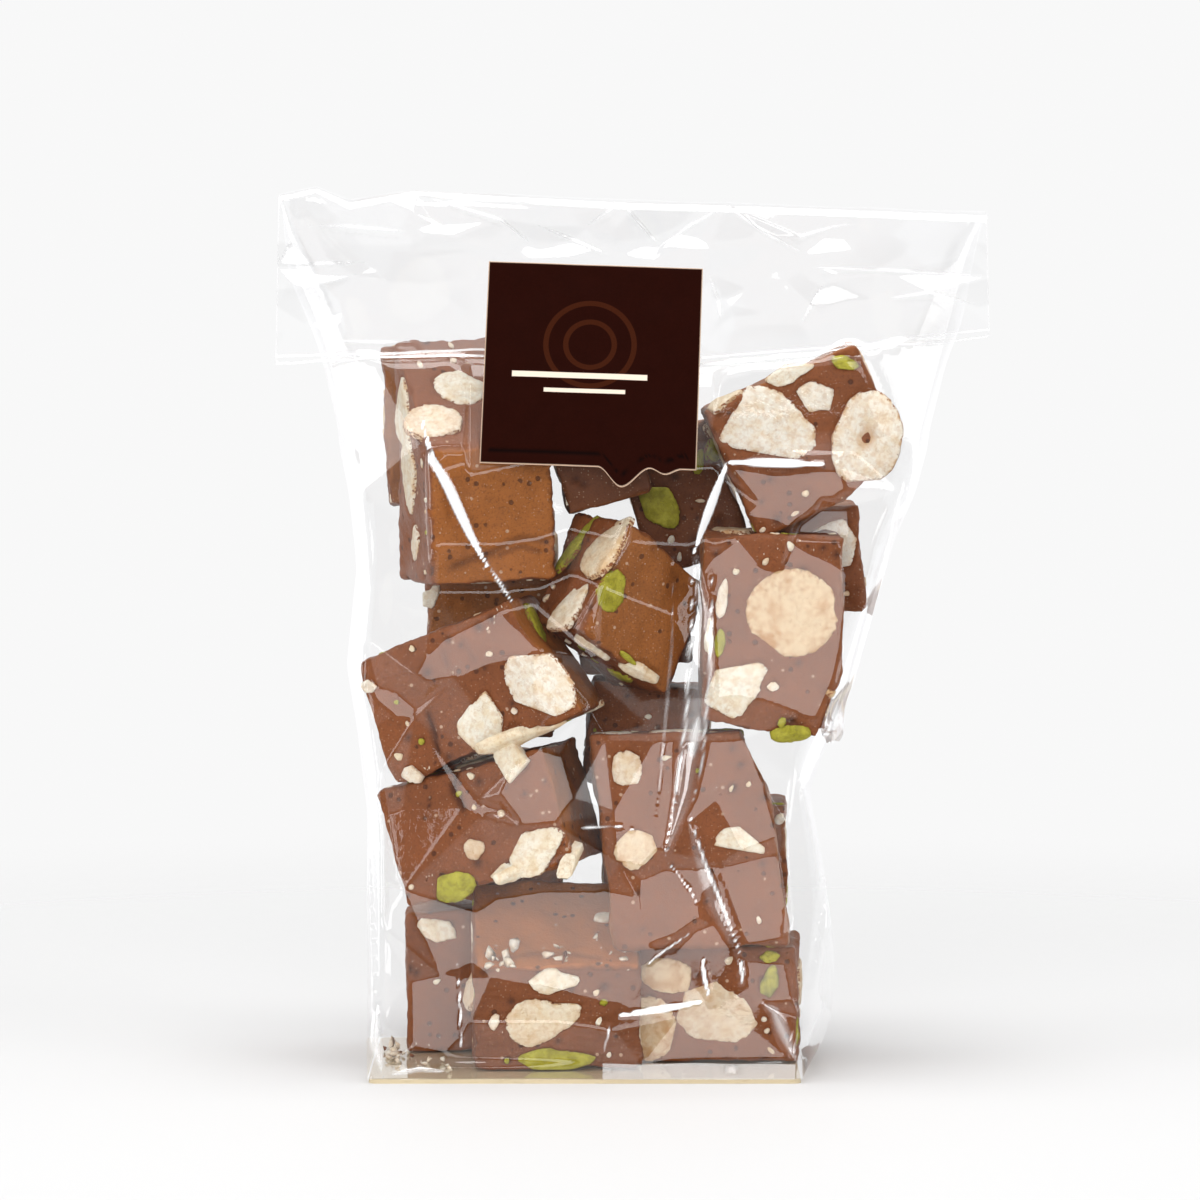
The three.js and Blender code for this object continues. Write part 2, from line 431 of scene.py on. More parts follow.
@dataclass(frozen=True)
class NougatFinish:
    """Milk-chocolate nougat: cut faces with air pits darkened by painted shade, and the slab's smoother
    skins.

    Each kind of speck has its number for a metre, the share that shows and its strength.
    """

    cut: Colour = shade(128, 71, 34)
    skin: Colour = shade(144, 85, 34)
    shade_and_grain: Colour = shade(62, 28, 10)
    pale: Colour = shade(196, 166, 140)
    pits: Triple = (620.0, 0.09, 0.7)
    bits: Triple = (900.0, 0.035, 0.75)
    grain: Triple = (2400.0, 0.16, 0.35)
    rough: Pair = (0.42, 0.6)

    @cache
    def material(self) -> Material:
        """The finish, made once.

        Returns:
            The material.
        """
        material, tree = new_material("nougat")
        base = tree.blend(tree.value_of("skin"), self.cut, self.skin)
        # The light value scales the colour: painted light and painted shade for each piece's skins and cut
        # faces.
        colour, height = tree.mottled(tree.scaled(base, tree.value_of("light")), 90.0, 0.2)
        pits, bits, grain = (tree.specks(*kind[:2]) for kind in (self.pits, self.bits, self.grain))
        fine = tree.noise(2600.0, 4.0)
        # The pits and the hollows of the air holes and slits are painted darker: painted shade in them. The
        # fine dark patches are the nougat's own grain.
        colour = tree.tinted(colour, (grain, self.grain[2], self.pale), (bits, self.bits[2], self.pale),
                             (pits, self.pits[2], self.shade_and_grain), (tree.value_of("hollow"), 1.0, self.shade_and_grain),
                             (tree.ramp(fine, 0.5, 0.66), 0.35, self.shade_and_grain))
        relief = tree.math("MULTIPLY_ADD", tree.dragged(900.0, 3.0, (1.0, 1.0, 0.12)), 0.25, height)
        relief = tree.math("MULTIPLY_ADD", fine, -0.3, relief)
        relief = tree.math("MULTIPLY_ADD", pits, -0.8, relief)
        tree.solid(colour, tree.ramp(height, 0.3, 0.7, *self.rough), relief, (0.6, 0.0005), 0.28)
        return material


class NutKind(Enum):
    """The three nuts in the nougat."""

    HAZELNUT = "hazelnut"
    ALMOND = "almond"
    PISTACHIO = "pistachio"


@dataclass(frozen=True)
class NutFinish:
    """A cut nut: its flesh, the toasted tone that some pieces have, and its skin at the rim, whose colour
    also paints shade into its cracks.
    """

    kind: NutKind
    flesh: Colour
    toasted: Colour
    rim: Colour
    smear: Colour = shade(134, 80, 46)
    rough: Pair = (0.5, 0.68)

    @cache
    def material(self) -> Material:
        """The finish, made once.

        Returns:
            The material.
        """
        material, tree = new_material(self.kind.value)
        tone, rim = tree.value_of("tone"), tree.value_of("rim")
        colour, height = tree.mottled(tree.blend(tone, self.flesh, self.toasted), 260.0, 0.10)
        grain = tree.specks(1900.0, 0.22)
        local = tree.node("ShaderNodeCombineXYZ", {
            "X": tree.times(tree.value_of("along"), 0.22), "Y": tree.value_of("across"), "Z": tone})
        streak = tree.ramp(tree.noise(1.6, 4.0, local.outputs[0]), 0.52, 0.74)
        cloud = tree.ramp(tree.noise(420.0, 6.0), 0.44, 0.64)
        meal = tree.ramp(tree.noise(1000.0, 5.0), 0.48, 0.62)
        vein = tree.math("ABSOLUTE", tree.math("SUBTRACT", tree.noise(330.0, 3.0), 0.5))
        crack = tree.ramp(vein, 0.006, 0.0)
        patch = tree.times(tree.ramp(tree.noise(260.0, 6.0), 0.46, 0.6), tone)
        roasted = tree.times(patch, tree.math("MULTIPLY_ADD", rim, 0.9, 0.25))
        uneven = tree.ramp(tree.noise(420.0), 0.42, 0.62, -0.1, 0.05)
        edge = tree.ramp(tree.math("ADD", rim, uneven), 0.94, 1.01)
        fray = tree.ramp(tree.noise(1900.0, 5.0), 0.38, 0.64, -0.09, 0.03)
        smear = tree.ramp(tree.math("ADD", rim, fray), 0.965, 0.985)
        centre = tree.ramp(tree.value_of("core"), 0.35, 0.9)
        # The cracks are sunk by the relief and also darkened towards the rim colour: painted shade in them.
        colour = tree.tinted(colour, (grain, 0.25, self.toasted), (streak, 0.45, self.toasted),
                             (cloud, 0.6, self.toasted), (meal, 0.3, self.rim), (crack, 0.5, self.rim),
                             (roasted, 1.0, self.rim), (edge, 0.6, self.rim), (smear, 1.0, self.smear),
                             (centre, 0.8, self.rim))
        relief = tree.math("MULTIPLY_ADD", tree.noise(1500.0, 3.0), 0.35, height)
        relief = tree.math("MULTIPLY_ADD", crack, -0.25, relief)
        tree.solid(colour, tree.ramp(height, 0.3, 0.7, *self.rough), relief, (0.7, 0.0004), 0.3)
        return material


NUT_FINISHES = (
    NutFinish(NutKind.HAZELNUT, shade(236, 230, 217), shade(220, 194, 156), shade(190, 142, 92)),
    NutFinish(NutKind.ALMOND, shade(236, 231, 216), shade(220, 197, 158), shade(194, 150, 98)),
    NutFinish(NutKind.PISTACHIO, shade(146, 140, 18), shade(190, 182, 66), shade(92, 82, 22)),
)


@dataclass(frozen=True)
class FilmFinish:
    """Clear film that mirrors a little face on, and more at a slant and where it is gathered; where it is
    gathered, a diffuse white also paints a highlight on it.
    """

    clear: Colour = (0.996, 0.996, 0.997, 1.0)
    mirror_face_on: float = 0.055
    mirror_slant: float = 0.8
    mirror_gathered: float = 0.7
    painted_highlight_gathered: float = 0.5
    gathered: Pair = (0.02, 0.3)
    rough: Pair = (0.03, 0.4)

    def material(self) -> Material:
        """The finish.

        Returns:
            The material.
        """
        material, tree = new_material("film")
        facing = tree.node("ShaderNodeLayerWeight", {"Blend": 0.5}).outputs["Facing"]
        slant = tree.math("POWER", facing, 5.0)
        gathered = tree.ramp(tree.value_of("gathered"), *self.gathered)
        mirror = tree.math("MULTIPLY_ADD", slant, self.mirror_slant, self.mirror_face_on)
        mirror = tree.math("MULTIPLY_ADD", gathered, self.mirror_gathered, mirror)
        wrinkle = tree.noise(160.0, 5.0)
        bump = tree.node("ShaderNodeBump", {"Strength": 0.12, "Distance": 0.0003, "Height": wrinkle})
        rough = tree.ramp(gathered, 0.0, 1.0, *self.rough)
        gloss = tree.node("ShaderNodeBsdfGlossy", {
            "Color": WHITE, "Normal": bump.outputs[0], "Roughness": rough})
        through = tree.node("ShaderNodeBsdfTransparent", {"Color": self.clear})
        clear = tree.node("ShaderNodeMixShader", {0: mirror, 1: through.outputs[0], 2: gloss.outputs[0]})
        # Painted highlight: a diffuse white along the gathered folds, over their real mirror.
        painted_highlight = tree.node("ShaderNodeBsdfDiffuse", {"Color": WHITE})
        amount = tree.times(gathered, self.painted_highlight_gathered)
        tree.end(tree.node("ShaderNodeMixShader", {0: amount, 1: clear.outputs[0], 2: painted_highlight.outputs[0]}))
        return material


@dataclass(frozen=True)
class StickerFinish:
    """Dark brown coated paper with two faint printed rings, two pale rules, a pale cut edge and painted shade
    in its pressed groove.

    Each rule has its middle, its length, its height and its width.
    """

    ground: Colour = shade(33, 8, 4)
    faint: Colour = shade(58, 25, 12)
    cream: Colour = shade(236, 218, 200)
    edge: Colour = shade(214, 184, 160)
    groove_shade: Colour = (0.002, 0.001, 0.001, 1.0)
    ring_middle: Pair = (-0.5, 4.0)
    ring_radii: Pair = (8.2, 4.51)
    ring_width: float = 0.9
    rules: tuple[tuple[float, ...], ...] = ((-2.2, 25.0, -2.2, 1.0), (-1.2, 15.0, -5.2, 0.7))
    soft: float = 0.1

    def material(self) -> Material:
        """The finish.

        Returns:
            The material.
        """
        material, tree = new_material("sticker")
        across, up = tree.value_of("across"), tree.value_of("up")
        colour, _ = tree.mottled(self.ground, 300.0, 0.12)
        rings = [(self.ring(tree, across, up, radius), 1.0, self.faint) for radius in self.ring_radii]
        rules = [(self.rule(tree, across, up, *rule), 1.0, self.cream) for rule in self.rules]
        rim = tree.ramp(tree.value_of("rim"), 0.55, 0.75)
        # The pressed groove is darkened nearly to black: painted shade in it.
        colour = tree.tinted(colour, *rings, *rules, (tree.value_of("pressed"), 0.85, self.groove_shade),
                             (rim, 1.0, self.edge))
        grain = tree.noise(1500.0, 4.0)
        tree.solid(colour, tree.ramp(grain, 0.3, 0.7, 0.34, 0.46), grain, (0.2, 0.0001), 0.02)
        return material

    def ring(self, tree: Tree, across: Socket, up: Socket, radius: float) -> Socket:
        """Mask of a printed ring about the ring's middle."""
        side = tree.math("SUBTRACT", across, self.ring_middle[0])
        rise = tree.math("SUBTRACT", up, self.ring_middle[1])
        squares = tree.math("ADD", tree.times(side, side), tree.times(rise, rise))
        gap = tree.math("ABSOLUTE", tree.math("SUBTRACT", tree.math("SQRT", squares), radius))
        return tree.ramp(gap, self.ring_width / 2 + self.soft, self.ring_width / 2)

    def rule(self, tree: Tree, across: Socket, up: Socket, middle: float, length: float, height: float,
             width: float) -> Socket:
        """Mask of a printed level line."""
        side = tree.math("ABSOLUTE", tree.math("SUBTRACT", across, middle))
        rise = tree.math("ABSOLUTE", tree.math("SUBTRACT", up, height))
        beside = tree.ramp(side, length / 2 + self.soft, length / 2)
        return tree.times(beside, tree.ramp(rise, width / 2 + self.soft, width / 2))


@dataclass(frozen=True)
class CardFinish:
    """Pale grey-brown board with short fibres."""

    board: Colour = shade(204, 188, 156)
    fibre: Colour = shade(168, 148, 116)
    rough: Pair = (0.75, 0.9)

    def material(self) -> Material:
        """The finish.

        Returns:
            The material.
        """
        material, tree = new_material("card")
        colour, height = tree.mottled(self.board, 200.0, 0.06)
        fibres = tree.ramp(tree.dragged(2600.0, 2.0, (0.2, 1.0, 1.0)), 0.6, 0.72)
        colour = tree.tinted(colour, (fibres, 0.5, self.fibre))
        tree.solid(colour, tree.ramp(height, 0.3, 0.7, *self.rough), fibres, (0.3, 0.0001))
        return material


@dataclass(frozen=True)
class Photo:
    """Where the picture was taken from, so that a mark read in its pixels can be laid on a surface."""

    stand: Triple = (-6.1, -1000.0, 150.0)
    pixels_per_slope: float = 5300.0
    tilt_down: float = radians(3.55)
    sensor: float = 36.0

    def ray(self, across: float, down: float) -> tuple[Vector, Vector]:
        """The line of sight through a pixel.

        Args:
            across: pixels from the left edge.
            down: pixels from the top edge.

        Returns:
            Where it starts and its direction, in millimetres.
        """
        right = (across - PHOTO_PIXELS / 2) / self.pixels_per_slope
        rise = (PHOTO_PIXELS / 2 - down) / self.pixels_per_slope
        cos, sin = math.cos(self.tilt_down), math.sin(self.tilt_down)
        return Vector(self.stand), Vector((right, cos + rise * sin, rise * cos - sin)).normalized()

    def at_depth(self, across: float, down: float, depth: float) -> Triple:
        """The place seen at a pixel where Y is depth."""
        start, way = self.ray(across, down)
        return tuple(start + way * ((depth - start.y) / way.y))

    def camera(self) -> None:
        """Makes the camera and sets it as the scene's."""
        data = bpy.data.cameras.new("camera")
        data.sensor_width = self.sensor
        data.lens = self.pixels_per_slope / PHOTO_PIXELS * self.sensor
        data.clip_end = 20.0
        camera = link("camera", data)
        camera.location = Vector(self.stand) * METRES
        camera.rotation_euler = (pi / 2 - self.tilt_down, 0.0, 0.0)
        bpy.context.scene.camera = camera


PHOTO = Photo()


class Skin(Enum):
    """The axis of a piece along which its two smooth skins face."""

    SIDES = 0
    FRONT = 1
    TOP = 2


@dataclass(frozen=True)
class Piece:
    """One block of nougat.

    Its turns are in degrees. The drop lowers its front top edge, and the lean moves its top to the
    right. Each break takes a corner off, straight through from front to back. The two lights are painted
    light and painted shade: they make its skins and its cut faces paler or darker than the others',
    for how light falls on them.
    """

    name: str
    at: Triple
    size: Triple
    turn: Triple
    drop: float = 0.0
    lean: float = 0.0
    narrow: float = 0.0
    breaks: tuple[tuple[Pair, Pair], ...] = ()
    skin: Skin = Skin.TOP
    # Painted light and painted shade: these scale the colour of its skins and of its cut faces.
    painted_skin_light: float = 1.0
    painted_cut_light: float = 1.0
    step: float = 0.62

    def rotation(self) -> Array:
        """Its turns as a matrix, roll in the picture last."""
        return np.array(Euler([radians(angle) for angle in self.turn], "YXZ").to_matrix())

    def placed(self, places: Array, part: Array) -> Array:
        """Places on the upright box moved to where the real piece has them.

        Args:
            places: the places, in millimetres from its middle.
            part: the same places, each side of the box being 1.

        Returns:
            The places in the bag.
        """
        moved = places.copy()
        moved[:, 0] += self.lean * part[:, 2] / 2 - self.narrow * part[:, 0] * part[:, 2] / 4
        moved[:, 2] -= self.drop * (1 + part[:, 2]) * (1 - part[:, 1]) / 4
        return moved @ self.rotation().T + np.array(self.at)

    def warp(self, places: Array) -> Array:
        """Places on the upright box where the real piece has them."""
        return self.placed(places, places / (np.array(self.size) / 2))

    def corners(self, grown: float = 0.0) -> Array:
        """Its eight corners, with its sides moved out by grown."""
        signs = np.array([[x, y, z] for x in (-1, 1) for y in (-1, 1) for z in (-1, 1)], float)
        return self.placed(signs * (np.array(self.size) / 2 + grown), signs)

    def broken(self, points: Array, normals: Array) -> None:
        """Moves the points beyond each break onto it, and turns their normals.

        Args:
            points: the block's points, which are changed.
            normals: their normals, which are changed too.
        """
        middle = np.array([self.at[0], self.at[2]])
        for start, end in self.breaks:
            start, run = np.array(start), np.subtract(end, start)
            out = unit(np.array([run[1], -run[0]]))
            out = out if (middle - start) @ out < 0 else -out
            beyond = (points[:, [0, 2]] - start) @ out
            cut = beyond > 0
            points[cut, 0] -= out[0] * beyond[cut]
            points[cut, 2] -= out[1] * beyond[cut]
            normals[cut] = (out[0], 0.0, out[1])


def hull_planes(points: Array) -> tuple[Array, Array]:
    """Planes of the convex hull.

    Args:
        points: the points that the hull holds.

    Returns:
        The outward unit normals, and how far along each its plane lies.
    """
    mesh = bmesh.new()
    for point in points:
        mesh.verts.new(point)
    bmesh.ops.convex_hull(mesh, input=mesh.verts)
    planes = [(np.array(face.normal), np.array(face.verts[0].co)) for face in mesh.faces]
    mesh.free()
    normals, corners = (np.array(rows) for rows in zip(*[plane for plane in planes if norm(plane[0]) > 0.5]))
    normals *= np.sign(((corners - points.mean(axis=0)) * normals).sum(axis=1, keepdims=True))
    return normals, (corners * normals).sum(axis=1)


# The skin and cut lights below are painted light and painted shade: the low front piece's top skin is painted
# paler and its cut faces darker, the top middle and under-sticker pieces' cut faces are painted darker as
# shade, and the top left piece's skins are painted paler.
PIECES = (
    Piece("low_front", (-14.5, -6, 17.6), (31, 22, 33), (0, 0, 3), 14, painted_skin_light=1.7, painted_cut_light=0.86),
    Piece("low_left", (-28, 16, 14.6), (30, 20, 27), (0, -1, 0)),
    Piece("low_right", (16.5, 4, 12.2), (30, 24, 22), (0, 0, -3)),
    Piece("tall_right", (10.5, -10, 43.8), (32.3, 23, 40), (-4, -1, 0), lean=-4,
          breaks=(((19.5, 65.1), (28.4, 45.3)),), skin=Skin.SIDES),
    Piece("middle_left", (-26.3, -10.2, 47.1), (33.5, 23, 22), (0, -16, -16), skin=Skin.SIDES),
    Piece("upper_left", (-29.7, -11.8, 72.5), (35, 20, 24), (0, -22, -14), lean=-2, narrow=8,
          skin=Skin.SIDES),
    Piece("tipped", (-2.2, -11, 88), (23, 18, 22), (4, 34, 33), lean=-4, skin=Skin.FRONT),
    Piece("upper_right", (25.8, -10, 82.6), (26, 22, 37), (0, 2, 0), lean=-1,
          breaks=(((37.4, 72.6), (33.5, 62.7)), ((33, 62.7), (12.3, 67.9))), skin=Skin.SIDES),
    Piece("back_right", (33.5, 13.5, 95), (20, 20, 20), (0, -4, 0)),
    Piece("top_right", (32.5, -5, 118.5), (31, 22, 26), (0, -24, 0),
          breaks=(((50.6, 119.4), (42.4, 110.5)),)),
    Piece("top_middle", (9.5, 12.5, 107), (19, 19, 25), (0, -18, 0), painted_cut_light=0.75),
    Piece("under_sticker", (-7, -6, 117), (16, 18, 21), (0, -16, 0), painted_cut_light=0.5),
    Piece("top_left", (-29.8, -8.5, 115), (23.5, 24, 45), (0, -2, 17), 20, skin=Skin.FRONT, painted_skin_light=1.2),
    Piece("behind_left", (-27, 13, 83), (24, 20, 43), (0, 0, 0), skin=Skin.FRONT),
    Piece("back_top_left", (-36, 15.5, 121), (22, 16, 30), (0, -3, 0), skin=Skin.FRONT),
    Piece("back_low_right", (12, 15.5, 36.5), (35, 19, 23.5), (0, 0, 0)),
    Piece("dark_middle", (3, 14, 61.5), (23, 20, 20), (0, 6, 0)),
    Piece("back_middle_left", (-26, 15, 44), (26, 20, 28), (0, 3, 0)),
    Piece("back_upper_right", (28, 14, 73), (20, 18, 19), (0, 5, 0)),
    Piece("back_middle", (0, 15, 82), (21, 17, 15), (0, -7, 0)),
)
PLAIN_FRONTS = ("under_sticker", "dark_middle", "back_middle")


@dataclass(frozen=True)
class Nut:
    """A cut nut: the pixel of its middle, its size, its slant and its tone, 1 being toasted.

    It stands proud of the face, and a pit is the hollow in its middle. A flat is a straight side: its
    way in the photo, in degrees, and its share of the radius.
    """

    kind: NutKind
    across: float
    down: float
    length: float
    width: float
    slant: float = 0.0
    tone: float = 0.1
    ragged: float = 0.05
    proud: float = 0.15
    pit: float = 0.0
    flats: Line = ()


HAZEL, ALMOND, PISTACHIO = NutKind.HAZELNUT, NutKind.ALMOND, NutKind.PISTACHIO

SEEN_NUTS = {
    "top_right": (
        Nut(HAZEL, 763, 424, 19, 12.6, -22, 0.1, 0.06, flats=((150, 0.62), (-100, 0.8))),
        Nut(HAZEL, 815, 397, 7.6, 5.6, -35, 0.1, 0.12),
        Nut(HAZEL, 867, 438, 17, 12.6, 78, 0.1, 0.03, pit=1.6),
        Nut(PISTACHIO, 845, 363, 5.4, 2.4, -15, 0.7),
        Nut(ALMOND, 790, 368, 9.6, 3.2, 18),
        Nut(ALMOND, 716, 388, 7.6, 2.6, 24, 0.4),
    ),
    "top_middle": (
        Nut(HAZEL, 722, 427, 4.9, 3.4, 0, 1),
        Nut(PISTACHIO, 716, 448, 5.4, 3.5, 70),
        Nut(PISTACHIO, 699, 462, 5.4, 1.8, 80),
        Nut(PISTACHIO, 660, 506, 9.5, 6.2, -50, 0.2, proud=0.8),
    ),
    "back_right": (
        Nut(HAZEL, 829, 547, 11, 10.4, 60, 0.1, 0.06, flats=((120, 0.75),)),
    ),
    "upper_right": (
        Nut(HAZEL, 793, 613, 16.8, 15.8, 0, 0.9, 0.012, 0.3),
        Nut(ALMOND, 737, 684, 13.2, 9, 40, 0.1, 0.08, flats=((100, 0.62),)),
        Nut(PISTACHIO, 791, 735, 7.7, 3, -4, 0.3, proud=0.7),
        Nut(PISTACHIO, 782, 722, 2.2, 1.5, 60, 0.3, 0.12),
        Nut(HAZEL, 722, 600, 7.5, 2, 82, 0.2),
        Nut(PISTACHIO, 720, 643, 5.6, 2, 85, 0.4),
        Nut(ALMOND, 709, 634, 7.6, 1.4, 88),
        Nut(HAZEL, 773, 687, 2.2, 1.9, 0, 0.1, 0.1),
    ),
    "tipped": (
        Nut(ALMOND, 606, 545, 13.6, 8.2, 60, 0.5, 0.03),
        Nut(PISTACHIO, 613, 590, 8.6, 5.4, 66, 0.1),
        Nut(ALMOND, 571, 603, 13, 6.2, 62, 0.2, 0.05, flats=((90, 0.7),)),
        Nut(PISTACHIO, 628, 658, 4.6, 1, -35, 0.2, proud=0.5),
        Nut(ALMOND, 652, 694, 8.5, 2.6, -38, 0.5, 0.1, proud=0.6),
        Nut(ALMOND, 592, 646, 8.4, 2, -52, 0.1, 0.1, proud=0.9),
        Nut(PISTACHIO, 578, 540, 14, 2.6, 55, 0.5),
    ),
    "upper_left": (
        Nut(HAZEL, 540, 686, 15.5, 10.6, -45, 0.1, 0.02, flats=((-108, 0.72), (-60, 0.82))),
        Nut(ALMOND, 483, 722, 13, 8, 72, 0.05, 0.1, flats=((35, 0.6),)),
        Nut(ALMOND, 520, 737, 19, 3.6, 14, 0.5, 0.05, proud=0.7),
        Nut(HAZEL, 368, 687, 3.2, 2.4, -20, 0.1, 0.12),
        Nut(PISTACHIO, 536, 625, 9, 5.2, -62, 0.2, proud=0.4),
        Nut(ALMOND, 594, 709, 4.3, 2.2, -28, 0.2, 0.1),
        Nut(HAZEL, 388, 782, 4.6, 3, -30, 0.1, 0.14, proud=0.6),
        Nut(HAZEL, 514, 711, 1.4, 1.2, 0, 0.1, 0.14, proud=0.3),
        Nut(HAZEL, 489, 654, 1.5, 1.1, 0, 0.5, 0.1, proud=0.3),
    ),
    "middle_left": (
        Nut(ALMOND, 516, 760, 9.4, 6.8, -86, 0.2, 0.02, 1.7, flats=((40, 0.5), (-40, 0.5))),
        Nut(PISTACHIO, 454, 887, 8.2, 5.4, 20, 0.5, proud=0.5),
        Nut(ALMOND, 535, 850, 12, 7.4, 32, 0.15, 0.05),
        Nut(ALMOND, 506, 872, 6, 3.4, 24, 0.1, 0.12),
        Nut(HAZEL, 474, 849, 4.1, 3.8, 0, 0.5, 0.05),
        Nut(ALMOND, 507, 885, 9.2, 2.4, 16, 0.2, 0.1, proud=0.6),
        Nut(ALMOND, 585, 871, 9.4, 2.8, 14, 0.2, 0.08, proud=0.7),
    ),
    "tall_right": (
        Nut(HAZEL, 626, 769, 7.6, 5.8, 66, 0.4, 0.1),
        Nut(HAZEL, 637, 848, 8.4, 6.8, 15, 0.7, 0.09),
        Nut(ALMOND, 741, 842, 9.6, 6, -18, 0.05, 0.08, flats=((-100, 0.5), (50, 0.6))),
    ),
    "low_front": (
        Nut(ALMOND, 556, 981, 10, 4, 0, 0.1, 0.05, proud=0.5),
        Nut(ALMOND, 545, 1020, 15.2, 7.4, 14, 0.45, 0.05, proud=0.4),
        Nut(PISTACHIO, 556, 1061, 15, 4, 0, 0.1, proud=0.5),
        Nut(HAZEL, 494, 1022, 3.3, 1.9, 80, 0.1, 0.1),
        Nut(ALMOND, 607, 917, 5.6, 2, 25, 0.1, 0.1, 0.5),
    ),
    "low_left": (
        Nut(ALMOND, 438, 931, 7.6, 4.8, -12, 0.1, 0.12),
    ),
    "low_right": (
        Nut(HAZEL, 668, 976, 10.2, 6.4, -5, 0.9, 0.06),
        Nut(HAZEL, 649, 1029, 12.4, 10, 85, 0.9, 0.03),
        Nut(HAZEL, 714, 1013, 15.5, 11, -18, 0.55, 0.05),
        Nut(PISTACHIO, 770, 983, 6.2, 3.2, 80, 0.8),
        Nut(PISTACHIO, 770, 957, 3.9, 2.2, 0, 0.8),
    ),
    "back_low_right": (
        Nut(PISTACHIO, 776, 804, 3.5, 1.6, 0, 0.3),
        Nut(HAZEL, 780, 819, 2.4, 1.9, 60),
    ),
    "top_left": (
        Nut(HAZEL, 436, 422, 11, 9.6, -5, 0.3, 0.06, flats=((-60, 0.7),)),
        Nut(ALMOND, 462, 388, 10, 9, 10, 0.1, 0.06),
        Nut(ALMOND, 402, 412, 12, 9, 84, 0.1, 0.04),
        Nut(ALMOND, 408, 475, 15, 8, -80, 0.2, 0.04),
        Nut(HAZEL, 415, 545, 7, 4, -80, 0.2, 0.08),
    ),
    "behind_left": (
        Nut(ALMOND, 431, 596, 5.2, 2.8, 60, 0.2, 0.12),
    ),
}


@dataclass(frozen=True)
class Score:
    """A slit or crease in a piece's face: its ends in pixels, its width and its depth."""

    piece: str
    line: Line
    width: float
    depth: float


SCORES = (
    Score("upper_left", ((428, 714), (434, 733), (438, 753)), 0.55, 0.9),
    Score("upper_left", ((443, 651), (447, 667)), 0.4, 0.4),
    Score("upper_left", ((463, 641), (474, 661)), 0.45, 0.4),
    Score("middle_left", ((445, 770), (453, 790), (463, 808)), 0.7, 1),
    Score("top_left", ((424, 575), (455, 566), (492, 553), (520, 538), (546, 541)), 0.8, 0.5),
    Score("top_left", ((500, 555), (522, 546), (540, 552)), 0.6, 0.5),
    Score("low_front", ((490, 958), (540, 952), (600, 957)), 0.7, 0.35),
)


